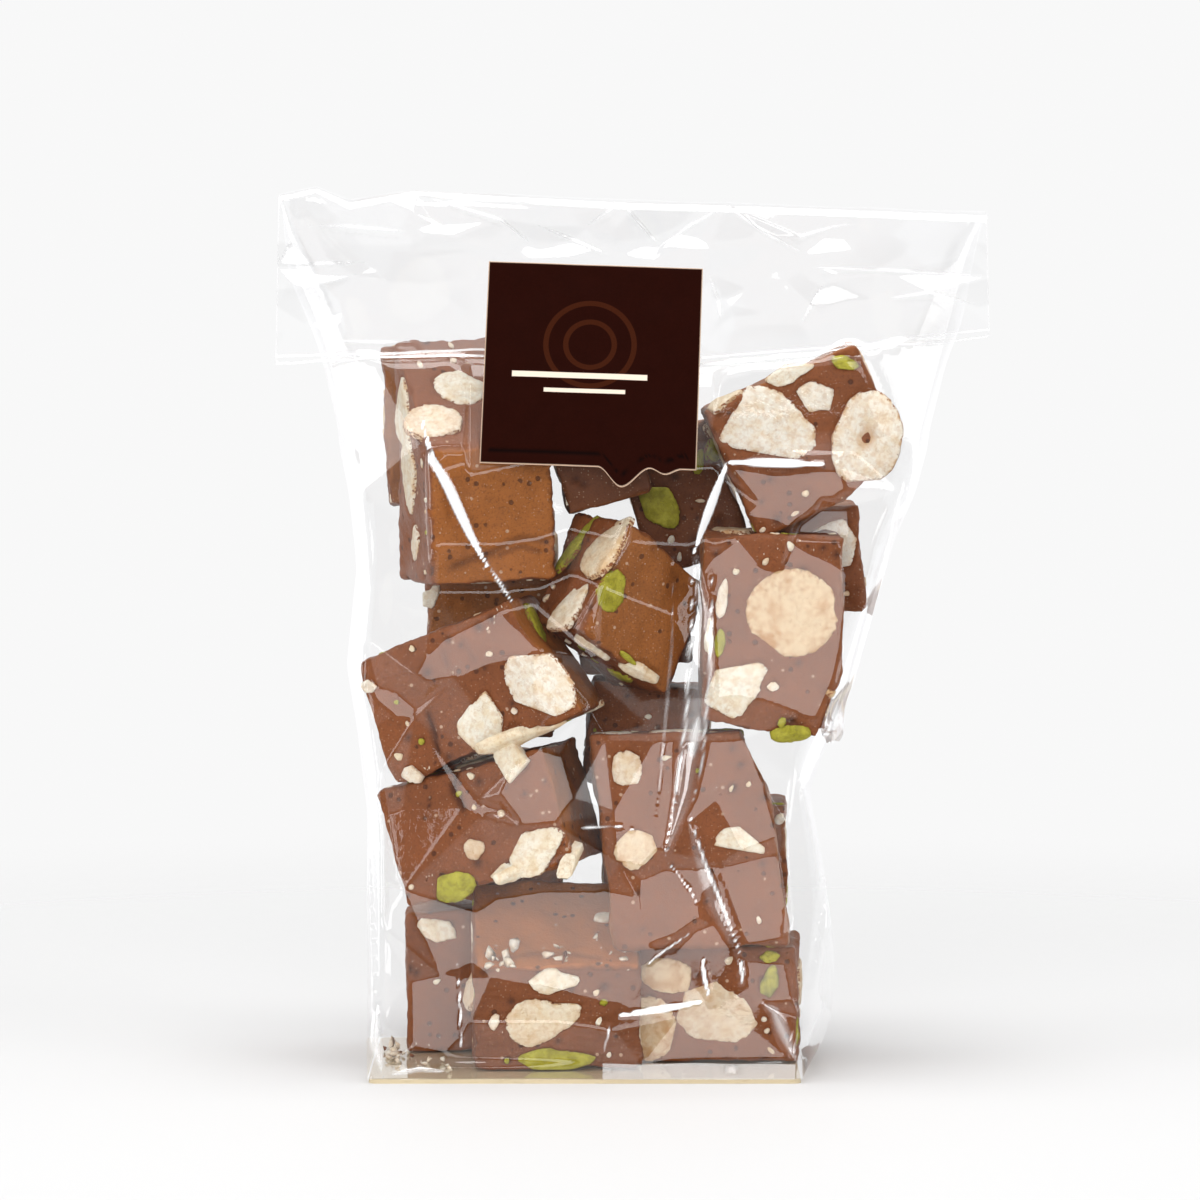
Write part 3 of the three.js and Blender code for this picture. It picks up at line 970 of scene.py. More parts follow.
@dataclass
class Nougat:
    """The blocks, with the nuts that show on their cut faces."""

    pieces: tuple[Piece, ...] = PIECES
    edge_radius: float = 0.8
    rest_height: float = 1.15
    seat_depth: float = 0.6
    nut_gap: float = 0.8
    nut_count: int = 3
    surfaces: dict[str, dict[str, Array]] = field(default_factory=dict)
    trees: dict[str, BVHTree] = field(default_factory=dict)
    seats: dict[str, list[tuple[Array, Array, "Outline"]]] = field(default_factory=dict)

    def box_grid(self, piece: Piece) -> tuple[Array, Array]:
        """A cube of even quads, from -1 to 1.

        Args:
            piece: the block that it will become.

        Returns:
            The points and the faces.
        """
        counts = [max(6, round(side / piece.step)) for side in piece.size]
        points, faces, first = [], [], 0
        for axis in range(3):
            one, two = (axis + 1) % 3, (axis + 2) % 3
            u, v = np.meshgrid(np.linspace(-1, 1, counts[one] + 1), np.linspace(-1, 1, counts[two] + 1),
                               indexing="ij")
            for sign in (-1.0, 1.0):
                side = np.zeros((u.size, 3))
                side[:, axis], side[:, one], side[:, two] = sign, u.ravel(), v.ravel()
                quads = np.array(grid_faces(counts[one] + 1, counts[two] + 1, first=first))
                faces.append(quads if sign < 0 else quads[:, ::-1])
                points.append(side)
                first += len(side)
        everything = np.vstack(points)
        keys, back = np.unique(np.round(everything * 1e5).astype(np.int64), axis=0, return_inverse=True)
        return keys / 1e5, back.reshape(-1)[np.vstack(faces)]

    def surface(self, number: int, piece: Piece) -> dict[str, Array]:
        """The block with rounded, slightly broken edges and uneven faces, before its nuts.

        Args:
            number: its place in the list, which seeds its pattern.
            piece: the block.

        Returns:
            Its points, outward normals, faces, and how much of each point is smooth skin.
        """
        cube, faces = self.box_grid(piece)
        half = np.array(piece.size) / 2
        places = cube * half
        rough = lumps(places, 5.0, 40 + number, 2)
        radius = self.edge_radius * (1 + 0.45 * rough)[:, None]
        inner = np.clip(places, -(half - radius), half - radius)
        away = places - inner
        out = unit(away)
        rounded = inner + out * radius
        skin = np.abs(out[:, piece.skin.value]) ** 4
        depth = 0.35 * lumps(places, 13.0, 60 + number, 2)
        depth += (0.05 + 0.03 * (1 - skin)) * lumps(places, 2.2, 80 + number, 3)
        corner = 1 - np.max(np.abs(out), axis=1)
        depth -= 2.2 * corner * np.clip(lumps(places, 3.2, 90 + number, 3) - 0.35, 0, 1)
        points = piece.warp(rounded)
        normals = unit(out @ piece.rotation().T)
        piece.broken(points, normals)
        points += normals * depth[:, None]
        points[:, 2] = np.maximum(points[:, 2], self.rest_height)
        return {"points": points, "normals": normals, "faces": faces, "skin": skin,
                "hollow": np.zeros(len(points))}

    def build(self) -> None:
        """Makes every block, its nuts and its slits."""
        for number, piece in enumerate(self.pieces):
            found = self.surface(number, piece)
            self.surfaces[piece.name] = found
            self.seats[piece.name] = []
            self.trees[piece.name] = BVHTree.FromPolygons(found["points"].tolist(), found["faces"].tolist())
        self.add_pits()
        NutCutter(self).build()
        for score in SCORES:
            self.cut(score)
        for number, piece in enumerate(self.pieces, 1):
            self.sink_seats(piece.name)
            found = self.surfaces[piece.name]
            # Painted light and painted shade: each point's colour is scaled by its piece's skin or cut light.
            light = piece.painted_cut_light + (piece.painted_skin_light - piece.painted_cut_light) * found["skin"]
            shape = Shape()
            shape.add(found["points"], found["faces"].tolist(), skin=found["skin"], hollow=found["hollow"],
                      light=light)
            made = shape.object(f"nougat_{number:02d}_{piece.name}", NougatFinish().material())
            report(made, "bag")

    def add_pits(self) -> None:
        """Small air holes in the cut faces, with painted shade in them."""
        for number, piece in enumerate(self.pieces):
            found = self.surfaces[piece.name]
            rng = np.random.default_rng(300 + number)
            picked = rng.choice(len(found["points"]), 46, replace=False)
            for middle in picked:
                if found["skin"][middle] > 0.5:
                    continue
                size = rng.uniform(0.35, 0.95)
                gap = norm(found["points"] - found["points"][middle], axis=1) / size
                dent = np.exp(-gap ** 2)
                found["points"] -= found["normals"] * (dent * size * 0.75)[:, None]
                # Painted shade: the hollow value darkens the pit's colour.
                found["hollow"] = np.maximum(found["hollow"], dent * 0.85)

    def cut(self, score: Score) -> None:
        """Cuts one slit into the face that the photo shows it on.

        Args:
            score: the slit.
        """
        found = self.surfaces[score.piece]
        tree = self.trees[score.piece]
        nearest, _ = distance_to_line(found["points"], [self.land(tree, *pixel)[0] for pixel in score.line])
        dent = np.exp(-(nearest / score.width) ** 2)
        found["points"] -= found["normals"] * (dent * score.depth)[:, None]
        # Painted shade: the hollow value darkens the slit's colour.
        found["hollow"] = np.maximum(found["hollow"], dent * min(1.0, score.depth))

    def land(self, tree: BVHTree, across: float, down: float) -> tuple[Vector, Vector]:
        """Where a line of sight meets a block, or comes nearest to it.

        Args:
            tree: the block's faces.
            across: pixels from the left edge of the photo.
            down: pixels from its top edge.

        Returns:
            The place and the outward normal there.
        """
        start, way = PHOTO.ray(across, down)
        place, normal, _, _ = tree.ray_cast(start, way)
        if place is None:
            middle = tree.find_nearest(start)[0]
            close = start + way * ((middle - start).dot(way))
            place, normal, _, _ = tree.find_nearest(close)
        if normal.dot(way) > 0:
            normal = -normal
        return place, normal

    def front(self, across: float, down: float) -> Array | None:
        """The first place on any block that a line of sight meets, if it meets one."""
        start, way = PHOTO.ray(across, down)
        hits = [tree.ray_cast(start, way) for tree in self.trees.values()]
        met = [hit for hit in hits if hit[0] is not None]
        return np.array(min(met, key=lambda hit: hit[3])[0]) if met else None

    def sink_seats(self, name: str) -> None:
        """Lowers the nougat under each nut, so that the nut's cut face shows.

        Args:
            name: name of the block.
        """
        found = self.surfaces[name]
        for middle, axes, outline in self.seats[name]:
            away = (found["points"] - middle) @ axes.T
            reach = outline.share(away[:, 0], away[:, 1])
            under = (1 - smooth_step(0.93, 1.08, reach)) * (np.abs(away[:, 2]) < 2.2)
            found["points"] -= axes[2] * (under * self.seat_depth)[:, None]


@dataclass(frozen=True)
class Outline:
    """The outline of a cut nut about its middle, as a radius for each direction."""

    length: float
    width: float
    taper: float
    waves: tuple[tuple[int, float, float], ...]
    chips: Line = ()

    def radius(self, angle: Array) -> Array:
        """Its radius in each direction."""
        half_long, half_wide = self.length / 2, self.width / 2
        wide = half_wide * (1 - self.taper * np.cos(angle))
        base = half_long * wide / np.hypot(wide * np.cos(angle), half_long * np.sin(angle))
        for count, size, start in self.waves:
            base = base * (1 + size * np.sin(count * angle + start))
        for way, share in self.chips:
            reach = math.hypot(half_long * math.cos(way), half_wide * math.sin(way)) * share
            toward = np.cos(angle - way)
            base = np.where(toward > 0.05, np.minimum(base, reach / np.maximum(toward, 0.05)), base)
        return base

    def share(self, along: Array, across: Array) -> Array:
        """How far out places lie, 1 being the outline."""
        return np.hypot(along, across) / self.radius(np.arctan2(across, along))


@dataclass
class NutCutter:
    """Cuts the nuts flush with the faces that they show on."""

    nougat: Nougat
    segments: int = 72
    rings: tuple[float, ...] = (0.0, 0.22, 0.42, 0.6, 0.75, 0.87, 0.95, 0.99)
    front_limit: float = -26.6
    proud_rim: float = 0.9
    skirt: float = 1.1
    crown: float = 0.22
    shapes: dict[NutKind, Shape] = field(default_factory=lambda: {kind: Shape() for kind in NutKind})

    TAPER = {NutKind.HAZELNUT: 0.06, NutKind.ALMOND: 0.34, NutKind.PISTACHIO: 0.12}
    COARSE_WAVES = (2, 3, 5, 7, 11, 17)
    FINE_WAVES = (19, 23, 27, 33)
    TYPICAL = {NutKind.HAZELNUT: (11.0, 10.0), NutKind.ALMOND: (14.0, 7.0), NutKind.PISTACHIO: (8.0, 5.0)}

    def outline(self, nut: Nut, rng: np.random.Generator) -> Outline:
        """The nut's uneven outline.

        Args:
            nut: the nut.
            rng: the seeded source of its pattern.

        Returns:
            The outline.
        """
        def turn() -> float:
            """A drawn way round."""
            return rng.uniform(0, 2 * pi)
        waves = [(count, nut.ragged * rng.uniform(0.5, 1.0) * 1.6 / count ** 0.7, turn())
                 for count in self.COARSE_WAVES]
        waves += [(count, rng.uniform(0.004, 0.012), turn()) for count in self.FINE_WAVES]
        chips = [(turn(), rng.uniform(0.8, 0.97)) for _ in range(round(nut.ragged * 55))]
        chips += [(radians(way - nut.slant), share) for way, share in nut.flats]
        return Outline(nut.length * 1.03, nut.width * 1.05, self.TAPER[nut.kind], tuple(waves), tuple(chips))

    def axes(self, piece: Piece, normal: Vector, slant: float) -> Array:
        """Three unit axes: along the nut, across it, and out of the block's nearest flat face.

        Args:
            piece: the block.
            normal: out of the face where the nut lies, and kept where no flat face is near.
            slant: degrees from level, anticlockwise in the photo.

        Returns:
            The axes as rows.
        """
        turned = piece.rotation()
        ways = np.vstack([turned.T, -turned.T])
        best = ways[np.argmax(ways @ np.array(normal))]
        normal = normal if best @ np.array(normal) < 0.93 else Vector(best)
        angle = radians(slant)
        level = Vector((math.cos(angle), 0.0, math.sin(angle)))
        along = (level - normal * level.dot(normal)).normalized()
        return np.array([along, normal.cross(along), normal])

    def lay(self, piece: Piece, place: Vector, axes: Array, nut: Nut, outline: Outline,
            rng: np.random.Generator, small: bool = False) -> None:
        """Adds one nut to the shape of its kind, and its seat to the block.

        Args:
            piece: the block that holds it.
            place: its middle on the face.
            axes: along, across and out.
            nut: the nut.
            outline: its outline.
            rng: the seeded source of its pattern.
            small: whether few points do.
        """
        count = 16 if small else self.segments
        rings = (0.0, 0.5, 0.85, 0.99) if small else self.rings
        angle = np.linspace(0, 2 * pi, count, endpoint=False)
        radius = outline.radius(angle)
        crown = min(self.crown, outline.width * 0.05)
        rows, rims = [], []
        for share in (*rings, 1.02):
            level = nut.proud + crown * (1 - share ** 2) - 0.25 * smooth_step(0.86, 1.0, np.array(share))
            level -= nut.pit * math.exp(-(share / 0.2) ** 2)
            if share > 1:
                level = -self.skirt
            flat = radius * share
            rows.append(np.stack([flat * np.cos(angle), flat * np.sin(angle), np.full(count, level)], -1))
            rims.append(np.full(count, share))
        local = np.vstack([rows[0][:1], *rows[1:]])
        relief = 0.07 * lumps(local * [1, 1, 0], 2.4, int(rng.integers(1 << 30)), 3)
        relief += 0.05 * lumps(local * [1, 1, 0], 6.0, int(rng.integers(1 << 30)), 1)
        local[:, 2] += relief * (local[:, 2] > -0.5)
        points = np.array(place) + local @ axes
        points[:, 2] = np.maximum(points[:, 2], self.nougat.rest_height)
        points[:, 1] = np.maximum(points[:, 1], self.front_limit)
        rim = np.concatenate([rims[0][:1], *rims[1:]]) * (self.proud_rim if nut.proud >= 0.5 else 1.0)
        faces = [(0, 1 + i, 1 + (i + 1) % count) for i in range(count)]
        faces += [face[::-1] for face in grid_faces(len(rows) - 1, count, wrap=True, first=1)]
        tone = float(np.clip(nut.tone + rng.uniform(-0.08, 0.08), 0, 1))
        core = np.exp(-(rim / 0.3) ** 2) * min(1.0, nut.pit)
        self.shapes[nut.kind].add(points, faces, rim=rim, tone=tone, core=core,
                                  along=local[:, 0] + 40 * place.x, across=local[:, 1] + 40 * place.z)
        self.nougat.seats[piece.name].append((np.array(place), axes, outline))

    def build(self) -> None:
        """Makes the nuts that the photo shows, then those of the faces that it hides."""
        blocks = {piece.name: piece for piece in self.nougat.pieces}
        seen = [(blocks[name], nut) for name, nuts in SEEN_NUTS.items() for nut in nuts]
        for number, (piece, nut) in enumerate(seen):
            rng = np.random.default_rng(700 + number)
            place, normal = self.nougat.land(self.nougat.trees[piece.name], nut.across, nut.down)
            self.lay(piece, place, self.axes(piece, normal, nut.slant), nut, self.outline(nut, rng), rng)
        for number, piece in enumerate(self.nougat.pieces):
            self.fill_hidden(number, piece)
        for finish in NUT_FINISHES:
            made = self.shapes[finish.kind].object(f"{finish.kind.value}s", finish.material())
            report(made, "bag")

    def fill_hidden(self, number: int, piece: Piece) -> None:
        """Nuts on the cut faces that no mark covers, and small bits on all of them.

        Args:
            number: the block's place in the list, which seeds the draw.
            piece: the block.
        """
        rng = np.random.default_rng(900 + number)
        marked = piece.name in PLAIN_FRONTS or piece.name in SEEN_NUTS
        for axis in range(3):
            if axis == piece.skin.value:
                continue
            for sign in (-1, 1):
                shown = marked and piece.rotation()[1, axis] * sign < -0.45
                wanted = [] if shown else [False] * self.nougat.nut_count
                for small in wanted + [True] * 5:
                    self.try_nut(piece, axis, sign, small, rng)

    def try_nut(self, piece: Piece, axis: int, sign: int, small: bool, rng: np.random.Generator) -> None:
        """Lays one drawn nut, if it finds room among the others.

        Args:
            piece: the block.
            axis: which pair of faces.
            sign: which face of the pair.
            small: whether it is a bit of a millimetre or two.
            rng: the seeded source of the draw.
        """
        kind = rng.choice(list(NutKind), p=[0.45, 0.33, 0.22])
        half = np.array(piece.size) / 2
        way = Vector(-piece.rotation()[:, axis] * sign)
        for _ in range(12):
            length, width = (typical * rng.uniform(0.7, 1.1) for typical in self.TYPICAL[kind])
            if small:
                length, width = rng.uniform(0.9, 2.2), rng.uniform(0.7, 1.4)
            room = np.maximum(half - (0.8 if small else 2.5) - width * 0.35, 0.5)
            spot = rng.uniform(-room, room)
            spot[axis] = sign * half[axis] * 1.5
            start = Vector(piece.warp(spot[None])[0])
            place, normal, _, _ = self.nougat.trees[piece.name].ray_cast(start, way)
            if place is None or any(
                    norm(np.subtract(place, middle)) < (length + other.length) / 2 + self.nougat.nut_gap
                    for middle, _, other in self.nougat.seats[piece.name]):
                continue
            normal = -normal if normal.dot(way) > 0 else normal
            axes = self.axes(piece, normal, rng.uniform(0, 180))
            nut = Nut(kind, 0, 0, length, width, ragged=rng.uniform(0.03, 0.12))
            outline = self.outline(nut, rng)
            self.lay(piece, place, axes, replace(nut, tone=rng.uniform(0, 0.7)), outline, rng, small)
            return


@dataclass(frozen=True)
class Slope:
    """The plane that the folded-over top hangs down, as places across it, up it and ahead of it."""

    angle: float = radians(21.9)
    foot_depth: float = -22.7
    foot_height: float = 113.8

    def out(self) -> Vector:
        """The way out of it, forward and up."""
        return Vector((0.0, -math.cos(self.angle), math.sin(self.angle)))

    def up_to(self, height: float | Array) -> float | Array:
        """The distance up the slope at which a height above the card lies."""
        return (height - self.foot_height) / math.cos(self.angle)

    def place(self, across: Array, up: Array, ahead: Array) -> Array:
        """Points in space.

        Args:
            across: distance to the right.
            up: distance up the slope.
            ahead: distance in front of it.

        Returns:
            The points, one row each.
        """
        sin, cos = math.sin(self.angle), math.cos(self.angle)
        depth = self.foot_depth + up * sin - ahead * cos
        height = self.foot_height + up * cos + ahead * sin
        return np.stack([across + 0 * depth, depth, height], -1)

    def seen(self, across: float, down: float) -> Pair:
        """Where a pixel of the photo lies across and up the slope."""
        start, way = PHOTO.ray(across, down)
        foot = Vector((0.0, self.foot_depth, self.foot_height))
        spot = start + way * ((foot - start).dot(self.out()) / way.dot(self.out()))
        return spot.x, self.up_to(spot.z)


SLOPE = Slope()


@dataclass
class Relief:
    """A sheet's relief: flat facets between knots, and folds along lines read in the photo."""

    seed: int
    cell: float
    reach: float
    folds: tuple[tuple[Triple, ...], ...] = ()

    def height(self, places: Array, low: Pair, high: Pair) -> Array:
        """The relief at each place.

        Args:
            places: two coordinates for each point.
            low: lower corner of the area with knots.
            high: its upper corner.

        Returns:
            The heights, in millimetres.
        """
        rng = np.random.default_rng(self.seed)
        knots, edges = [], []
        for fold in self.folds:
            first = len(knots)
            knots.extend(fold)
            edges.extend((first + i, first + i + 1) for i in range(len(fold) - 1))
        fixed = list(knots)
        counts = [math.ceil((high[i] - low[i]) / self.cell) + 2 for i in range(2)]
        for i in range(-1, counts[0]):
            for j in range(-1, counts[1]):
                jump = rng.uniform(-0.42, 0.42, 2)
                spot = tuple(low + self.cell * (jump + (i + 0.5 * (j % 2), j)))
                height = self.reach * rng.uniform(-1, 1)
                if all(math.dist(spot, knot[:2]) > 0.55 * self.cell for knot in fixed):
                    knots.append((*spot, height))
        return facets(places, np.array(knots)[:, :2], np.array(knots)[:, 2], edges)


@dataclass
class Crumbs:
    """Flakes of nut and nougat that lie on the pieces and on the base."""

    nougat: Nougat
    patches: tuple[tuple[str, Pair, Pair, int, Pair], ...] = (
        ("low_front", (486, 946), (518, 972), 12, (1.2, 4.4)),
        ("low_front", (545, 942), (575, 962), 8, (1.2, 4.0)),
        ("low_front", (592, 936), (635, 972), 14, (0.8, 4.2)),
        ("low_front", (500, 985), (625, 1050), 10, (0.2, 0.5)),
        ("low_front", (520, 895), (625, 935), 5, (0.3, 0.9)),
        ("upper_left", (478, 598), (500, 640), 7, (0.3, 1.2)),
        ("upper_left", (395, 768), (430, 790), 7, (0.4, 1.3)),
        ("upper_left", (380, 640), (600, 750), 12, (0.2, 0.5)),
        ("middle_left", (415, 872), (440, 890), 5, (0.4, 1.0)),
        ("middle_left", (400, 790), (600, 880), 12, (0.2, 0.5)),
        ("tall_right", (600, 740), (780, 940), 18, (0.2, 0.5)),
        ("upper_right", (715, 560), (830, 735), 16, (0.2, 0.5)),
        ("upper_right", (735, 540), (830, 560), 7, (0.4, 1.1)),
        ("top_right", (700, 380), (890, 520), 16, (0.2, 0.5)),
        ("tipped", (560, 520), (690, 700), 14, (0.2, 0.6)),
        ("top_left", (430, 460), (545, 575), 9, (0.15, 0.35)),
        ("low_right", (640, 960), (790, 1060), 16, (0.2, 0.6)),
        ("low_left", (412, 920), (450, 1050), 14, (0.2, 0.7)),
        ("card", (396, 1060), (452, 1072), 20, (0.4, 2.6)),
        ("card", (384, 1046), (418, 1062), 16, (1.2, 4.4)),
        ("card", (610, 1066), (780, 1075), 14, (0.2, 0.8)),
    )
    card_level: float = 1.1
    nougat_share: float = 0.12

    def chip(self, size: float, rng: np.random.Generator) -> tuple[Array, list[tuple[int, ...]]]:
        """A small angular flake.

        Args:
            size: its length.
            rng: the seeded source of its form.

        Returns:
            Its points and faces.
        """
        mesh = bmesh.new()
        for corner in unit(rng.normal(size=(11, 3))) * rng.uniform(0.6, 1.0, (11, 1)):
            mesh.verts.new(corner * size / 2 * [1.0, rng.uniform(0.5, 0.9), rng.uniform(0.25, 0.5)])
        bmesh.ops.convex_hull(mesh, input=mesh.verts)
        loose = [vertex for vertex in mesh.verts if not vertex.link_faces]
        bmesh.ops.delete(mesh, geom=loose, context="VERTS")
        mesh.verts.index_update()
        points = np.array([list(vertex.co) for vertex in mesh.verts])
        faces = [tuple(vertex.index for vertex in face.verts) for face in mesh.faces]
        mesh.free()
        return points, faces

    def land(self, name: str, pixel: Array) -> Array:
        """Where a flake seen at a pixel lies."""
        if name != "card":
            return np.array(self.nougat.land(self.nougat.trees[name], *pixel)[0])
        start, way = PHOTO.ray(*pixel)
        return np.array(start + way * ((self.card_level - start.z) / way.z))

    def build(self) -> None:
        """Makes the flakes of nut, and those of nougat."""
        pale, brown = Shape(), Shape()
        for number, (name, low, high, count, sizes) in enumerate(self.patches):
            rng = np.random.default_rng(1200 + number)
            for _ in range(count):
                size = sizes[0] + (sizes[1] - sizes[0]) * rng.uniform() ** 2
                points, faces = self.chip(size, rng)
                turned = points @ np.array(Euler(rng.uniform(0, 3, 3)).to_matrix()).T
                lifted = self.land(name, rng.uniform(low, high)) + [0, -0.1 * size, 0.2 * size]
                lifted[2] = max(lifted[2], self.card_level - turned[:, 2].min())
                if rng.uniform() < self.nougat_share:
                    brown.add(turned + lifted, faces, skin=0.0, hollow=0.0, light=1.0)
                else:
                    pale.add(turned + lifted, faces, rim=0.3, tone=float(rng.uniform(0, 0.25)), core=0.0,
                             along=points[:, 0], across=points[:, 1])
        report(pale.object("crumbs_of_nut", NUT_FINISHES[0].material()), "bag")
        report(brown.object("crumbs_of_nougat", NougatFinish().material()), "bag")


@dataclass
class Film:
    """The bag's film: taut round the pieces, gabled at the top, folded over to the front."""

    card_width: float = 80.0
    card_depth: float = 54.0
    card_thickness: float = 0.8
    card_middle: float = -8.9
    wrap: float = 0.3
    fold_line: Line = ((-66.4, 164.3), (-59.4, 165.7), (-53.2, 163.2), (-40.6, 165.2), (-36.2, 164.9),
                       (-2.3, 163.2), (18.4, 162.7), (66.4, 161.0))
    fold_half: float = 1.0
    fold_ends: Pair = (164.9, 161.0)
    clearance: float = 0.6
    rest_gap: float = 0.4
    bulge: tuple[Triple, ...] = ((37.7, -12, 9), (38, -12, 22), (37.7, 12, 9), (38, 12, 22))
    left_side: Line = ((-49.3, 0), (-49.2, 20), (-49.4, 50), (-51.2, 64), (-53.4, 76), (-51.4, 94),
                       (-53, 108), (-56, 122), (-59, 134), (-66.4, 150), (-66.4, 170))
    right_side: Line = ((31.5, 0), (34.6, 3.8), (37.3, 10), (37.7, 23), (35, 42), (32.6, 54), (34.4, 60),
                        (37.4, 66), (40.4, 73), (44.4, 87), (48.4, 101), (52.6, 110), (56, 122),
                        (59, 134), (66.4, 150), (66.4, 170))
    band: tuple[Pair, float] = ((-5.6, 30.0), 2.9)
    band_gather: float = 0.12
    rows: int = 262
    columns: int = 364
    front_share: float = 4.0
    low_share: float = 0.86
    low_top: float = 118.0
    drape_rounds: int = 14
    sheet_border: float = 2.6
    sheet_right: Line = ((28.9, 0), (31.6, 10), (31.0, 23), (29.8, 34), (28.8, 44), (29.4, 54), (31.8, 60),
                         (34.6, 66), (37.8, 73), (41.8, 87), (45.8, 101), (50, 110), (53.4, 122))
    sheet_blend: float = 1.6
    sheet_top: float = 118.0

    def planes(self) -> tuple[Array, Array]:
        """Planes of the film pulled taut round everything that it holds."""
        points = [piece.corners(self.clearance) for piece in PIECES]
        half_width, half_depth = self.card_width / 2 + self.wrap, self.card_depth / 2 + self.wrap
        for side in (-half_width, half_width):
            for depth in (-half_depth, half_depth):
                points.append([[self.card_middle + side, depth, self.card_thickness]])
        for across, height in self.fold_line:
            points.append([[across, -self.fold_half, height], [across, self.fold_half, height]])
        points.append(self.bulge)
        return hull_planes(np.vstack(points))

    def fall(self) -> float:
        """How much the fold line falls for each millimetre to the right."""
        ends = self.fold_line[0][0], self.fold_line[-1][0]
        return (self.fold_ends[1] - self.fold_ends[0]) / (ends[1] - ends[0])

    def taut_grid(self) -> Array:
        """Rings of points round the taut film, from the base up.

        Returns:
            The rings, each a row.
        """
        normals, levels = self.planes()
        top = sum(self.fold_ends) / 2 - 0.9
        angles = np.linspace(0, 2 * pi, 1441)[:-1] + pi / 2
        low = self.card_thickness
        rings = []
        heights = np.interp(np.linspace(0, 1, self.rows), (0, self.low_share, 1), (low, self.low_top, top))
        for height in heights:
            left, right = at_height(self.left_side, height), at_height(self.right_side, height)
            fall = self.fall() * height / top
            middle = np.array([(left + right) / 2, 0.0, height + fall * (left + right) / 2])
            deep = np.interp(height, (0, 110, top), (27.0, 25.0, self.fold_half))
            across = (right - left) / 2 * np.cos(angles)
            ways = np.stack([across, deep * np.sin(angles), fall * across], -1)
            facing = ways @ normals.T
            ahead = facing > 1e-6
            reach = np.where(ahead, (levels - middle @ normals.T) / np.where(ahead, facing, 1), 1e9)
            ring = middle + ways * np.maximum(reach.min(axis=1), 0.02)[:, None]
            ring[:, 0] = np.clip(ring[:, 0], left, right)
            rings.append(self.evened(ring))
        return np.array(rings)

    def evened(self, ring: Array) -> Array:
        """A closed ring with its points at even steps, from the middle of the back."""
        closed = np.vstack([ring, ring[:1]])
        steps = norm(np.diff(closed, axis=0), axis=1)
        steps *= np.where(closed[1:, 1] < 0, self.front_share, 1.0)
        walked = np.concatenate([[0], np.cumsum(steps)])
        stops = np.linspace(0, walked[-1], self.columns + 1)[:-1]
        return np.stack([np.interp(stops, walked, closed[:, axis]) for axis in range(3)], -1)

    def push_out(self, points: Array, gap: float) -> Array:
        """Points moved out of the blocks.

        Args:
            points: the points.
            gap: how far from a block they have to lie.

        Returns:
            The points, moved.
        """
        moved = points.copy()
        for piece in PIECES:
            normals, levels = hull_planes(piece.corners())
            reach = np.abs(moved - piece.at).max(axis=1) < max(piece.size)
            inside = moved[reach] @ normals.T - levels
            nearest = inside.argmax(axis=1)
            short = np.clip(gap - inside.max(axis=1), 0, None)
            moved[reach] += normals[nearest] * short[:, None]
        return moved

    def drape(self, grid: Array) -> Array:
        """The taut film let in a little between the blocks."""
        for _ in range(self.drape_rounds):
            middle = grid[1:-1]
            around = (np.roll(middle, 1, 1) + np.roll(middle, -1, 1) + grid[2:] + grid[:-2]) / 4
            grid[1:-1] += 0.6 * (around - middle)
            grid = self.push_out(grid.reshape(-1, 3), self.rest_gap).reshape(grid.shape)
        return grid

    def crease(self, grid: Array, nougat: Nougat) -> Array:
        """The draped film with flat facets behind, and with plates and folds in front.

        Args:
            grid: the draped film.
            nougat: the blocks inside.

        Returns:
            The grid, moved.
        """
        flat = grid.reshape(-1, 3)
        normals = ring_normals(grid)
        relief = Relief(22, 19.0, 0.9).height(flat[:, [0, 2]], (-72.0, -6.0), (72.0, 172.0))
        ahead = smooth_step(-0.35, 0.35, -normals[:, 1])
        sides = 1 - 0.6 * np.exp(-(normals[:, 1] / 0.3) ** 2)
        height = relief * (1 - 0.8 * ahead) * sides
        height -= 0.8 * smooth_step(116.0, 122.0, flat[:, 2]) * ahead
        height *= smooth_step(1.0, 9.0, flat[:, 2]) * (1 - smooth_step(152.0, 163.0, flat[:, 2]))
        points = flat + normals * height[:, None]
        points = self.lay_sheet(points, normals, nougat)
        points += [0, -1, 0] * (self.pleats(points) * smooth_step(0.1, 0.5, -normals[:, 1]))[:, None]
        return self.push_out(points, self.rest_gap).reshape(grid.shape)

    def border(self, points: Array, normals: Array) -> list[Triple]:
        """Places on the draped film round the part that the plates shape, anticlockwise."""
        front = points[normals[:, 1] < -0.1]
        levels = np.linspace(3.0, self.sheet_top, 14)
        left = at_height(self.left_side, levels) + self.sheet_border
        right = at_height(self.sheet_right, levels)
        across = np.linspace(0.12, 0.88, 7)
        low = [(left[0] + share * (right[0] - left[0]), levels[0]) for share in across]
        high = [(right[-1] + share * (left[-1] - right[-1]), levels[-1]) for share in across]
        round_ = [*low, *zip(right, levels), *high, *list(zip(left, levels))[::-1]]
        found = []
        for spot in round_:
            nearest = np.argmin(norm(front[:, [0, 2]] - spot, axis=1))
            found.append((spot[0], front[nearest, 1], spot[1]))
        return found

    def lay_sheet(self, points: Array, normals: Array, nougat: Nougat) -> Array:
        """The front moved in depth onto the plates and the facets that join them.

        Args:
            points: points of the film.
            normals: their normals.
            nougat: the blocks inside.

        Returns:
            The points, moved.
        """
        border = self.border(points, normals)
        knots, edges = list(border), []
        for plate in PLATES:
            first, corners = len(knots), plate.knots(nougat)
            knots.extend(corners)
            edges.extend((first + i, first + (i + 1) % len(corners)) for i in range(len(corners)))
        knots = np.array(knots)
        depth = facets(points[:, [0, 2]], knots[:, [0, 2]], knots[:, 1], edges)
        gap, _ = distance_to_line(points[:, [0, 2]], [(x, z) for x, _, z in [*border, border[0]]])
        share = smooth_step(0.0, self.sheet_blend, gap) * (depth < -1) * (normals[:, 1] < -0.05)
        moved = points.copy()
        moved[:, 1] += share * (depth - points[:, 1])
        return moved

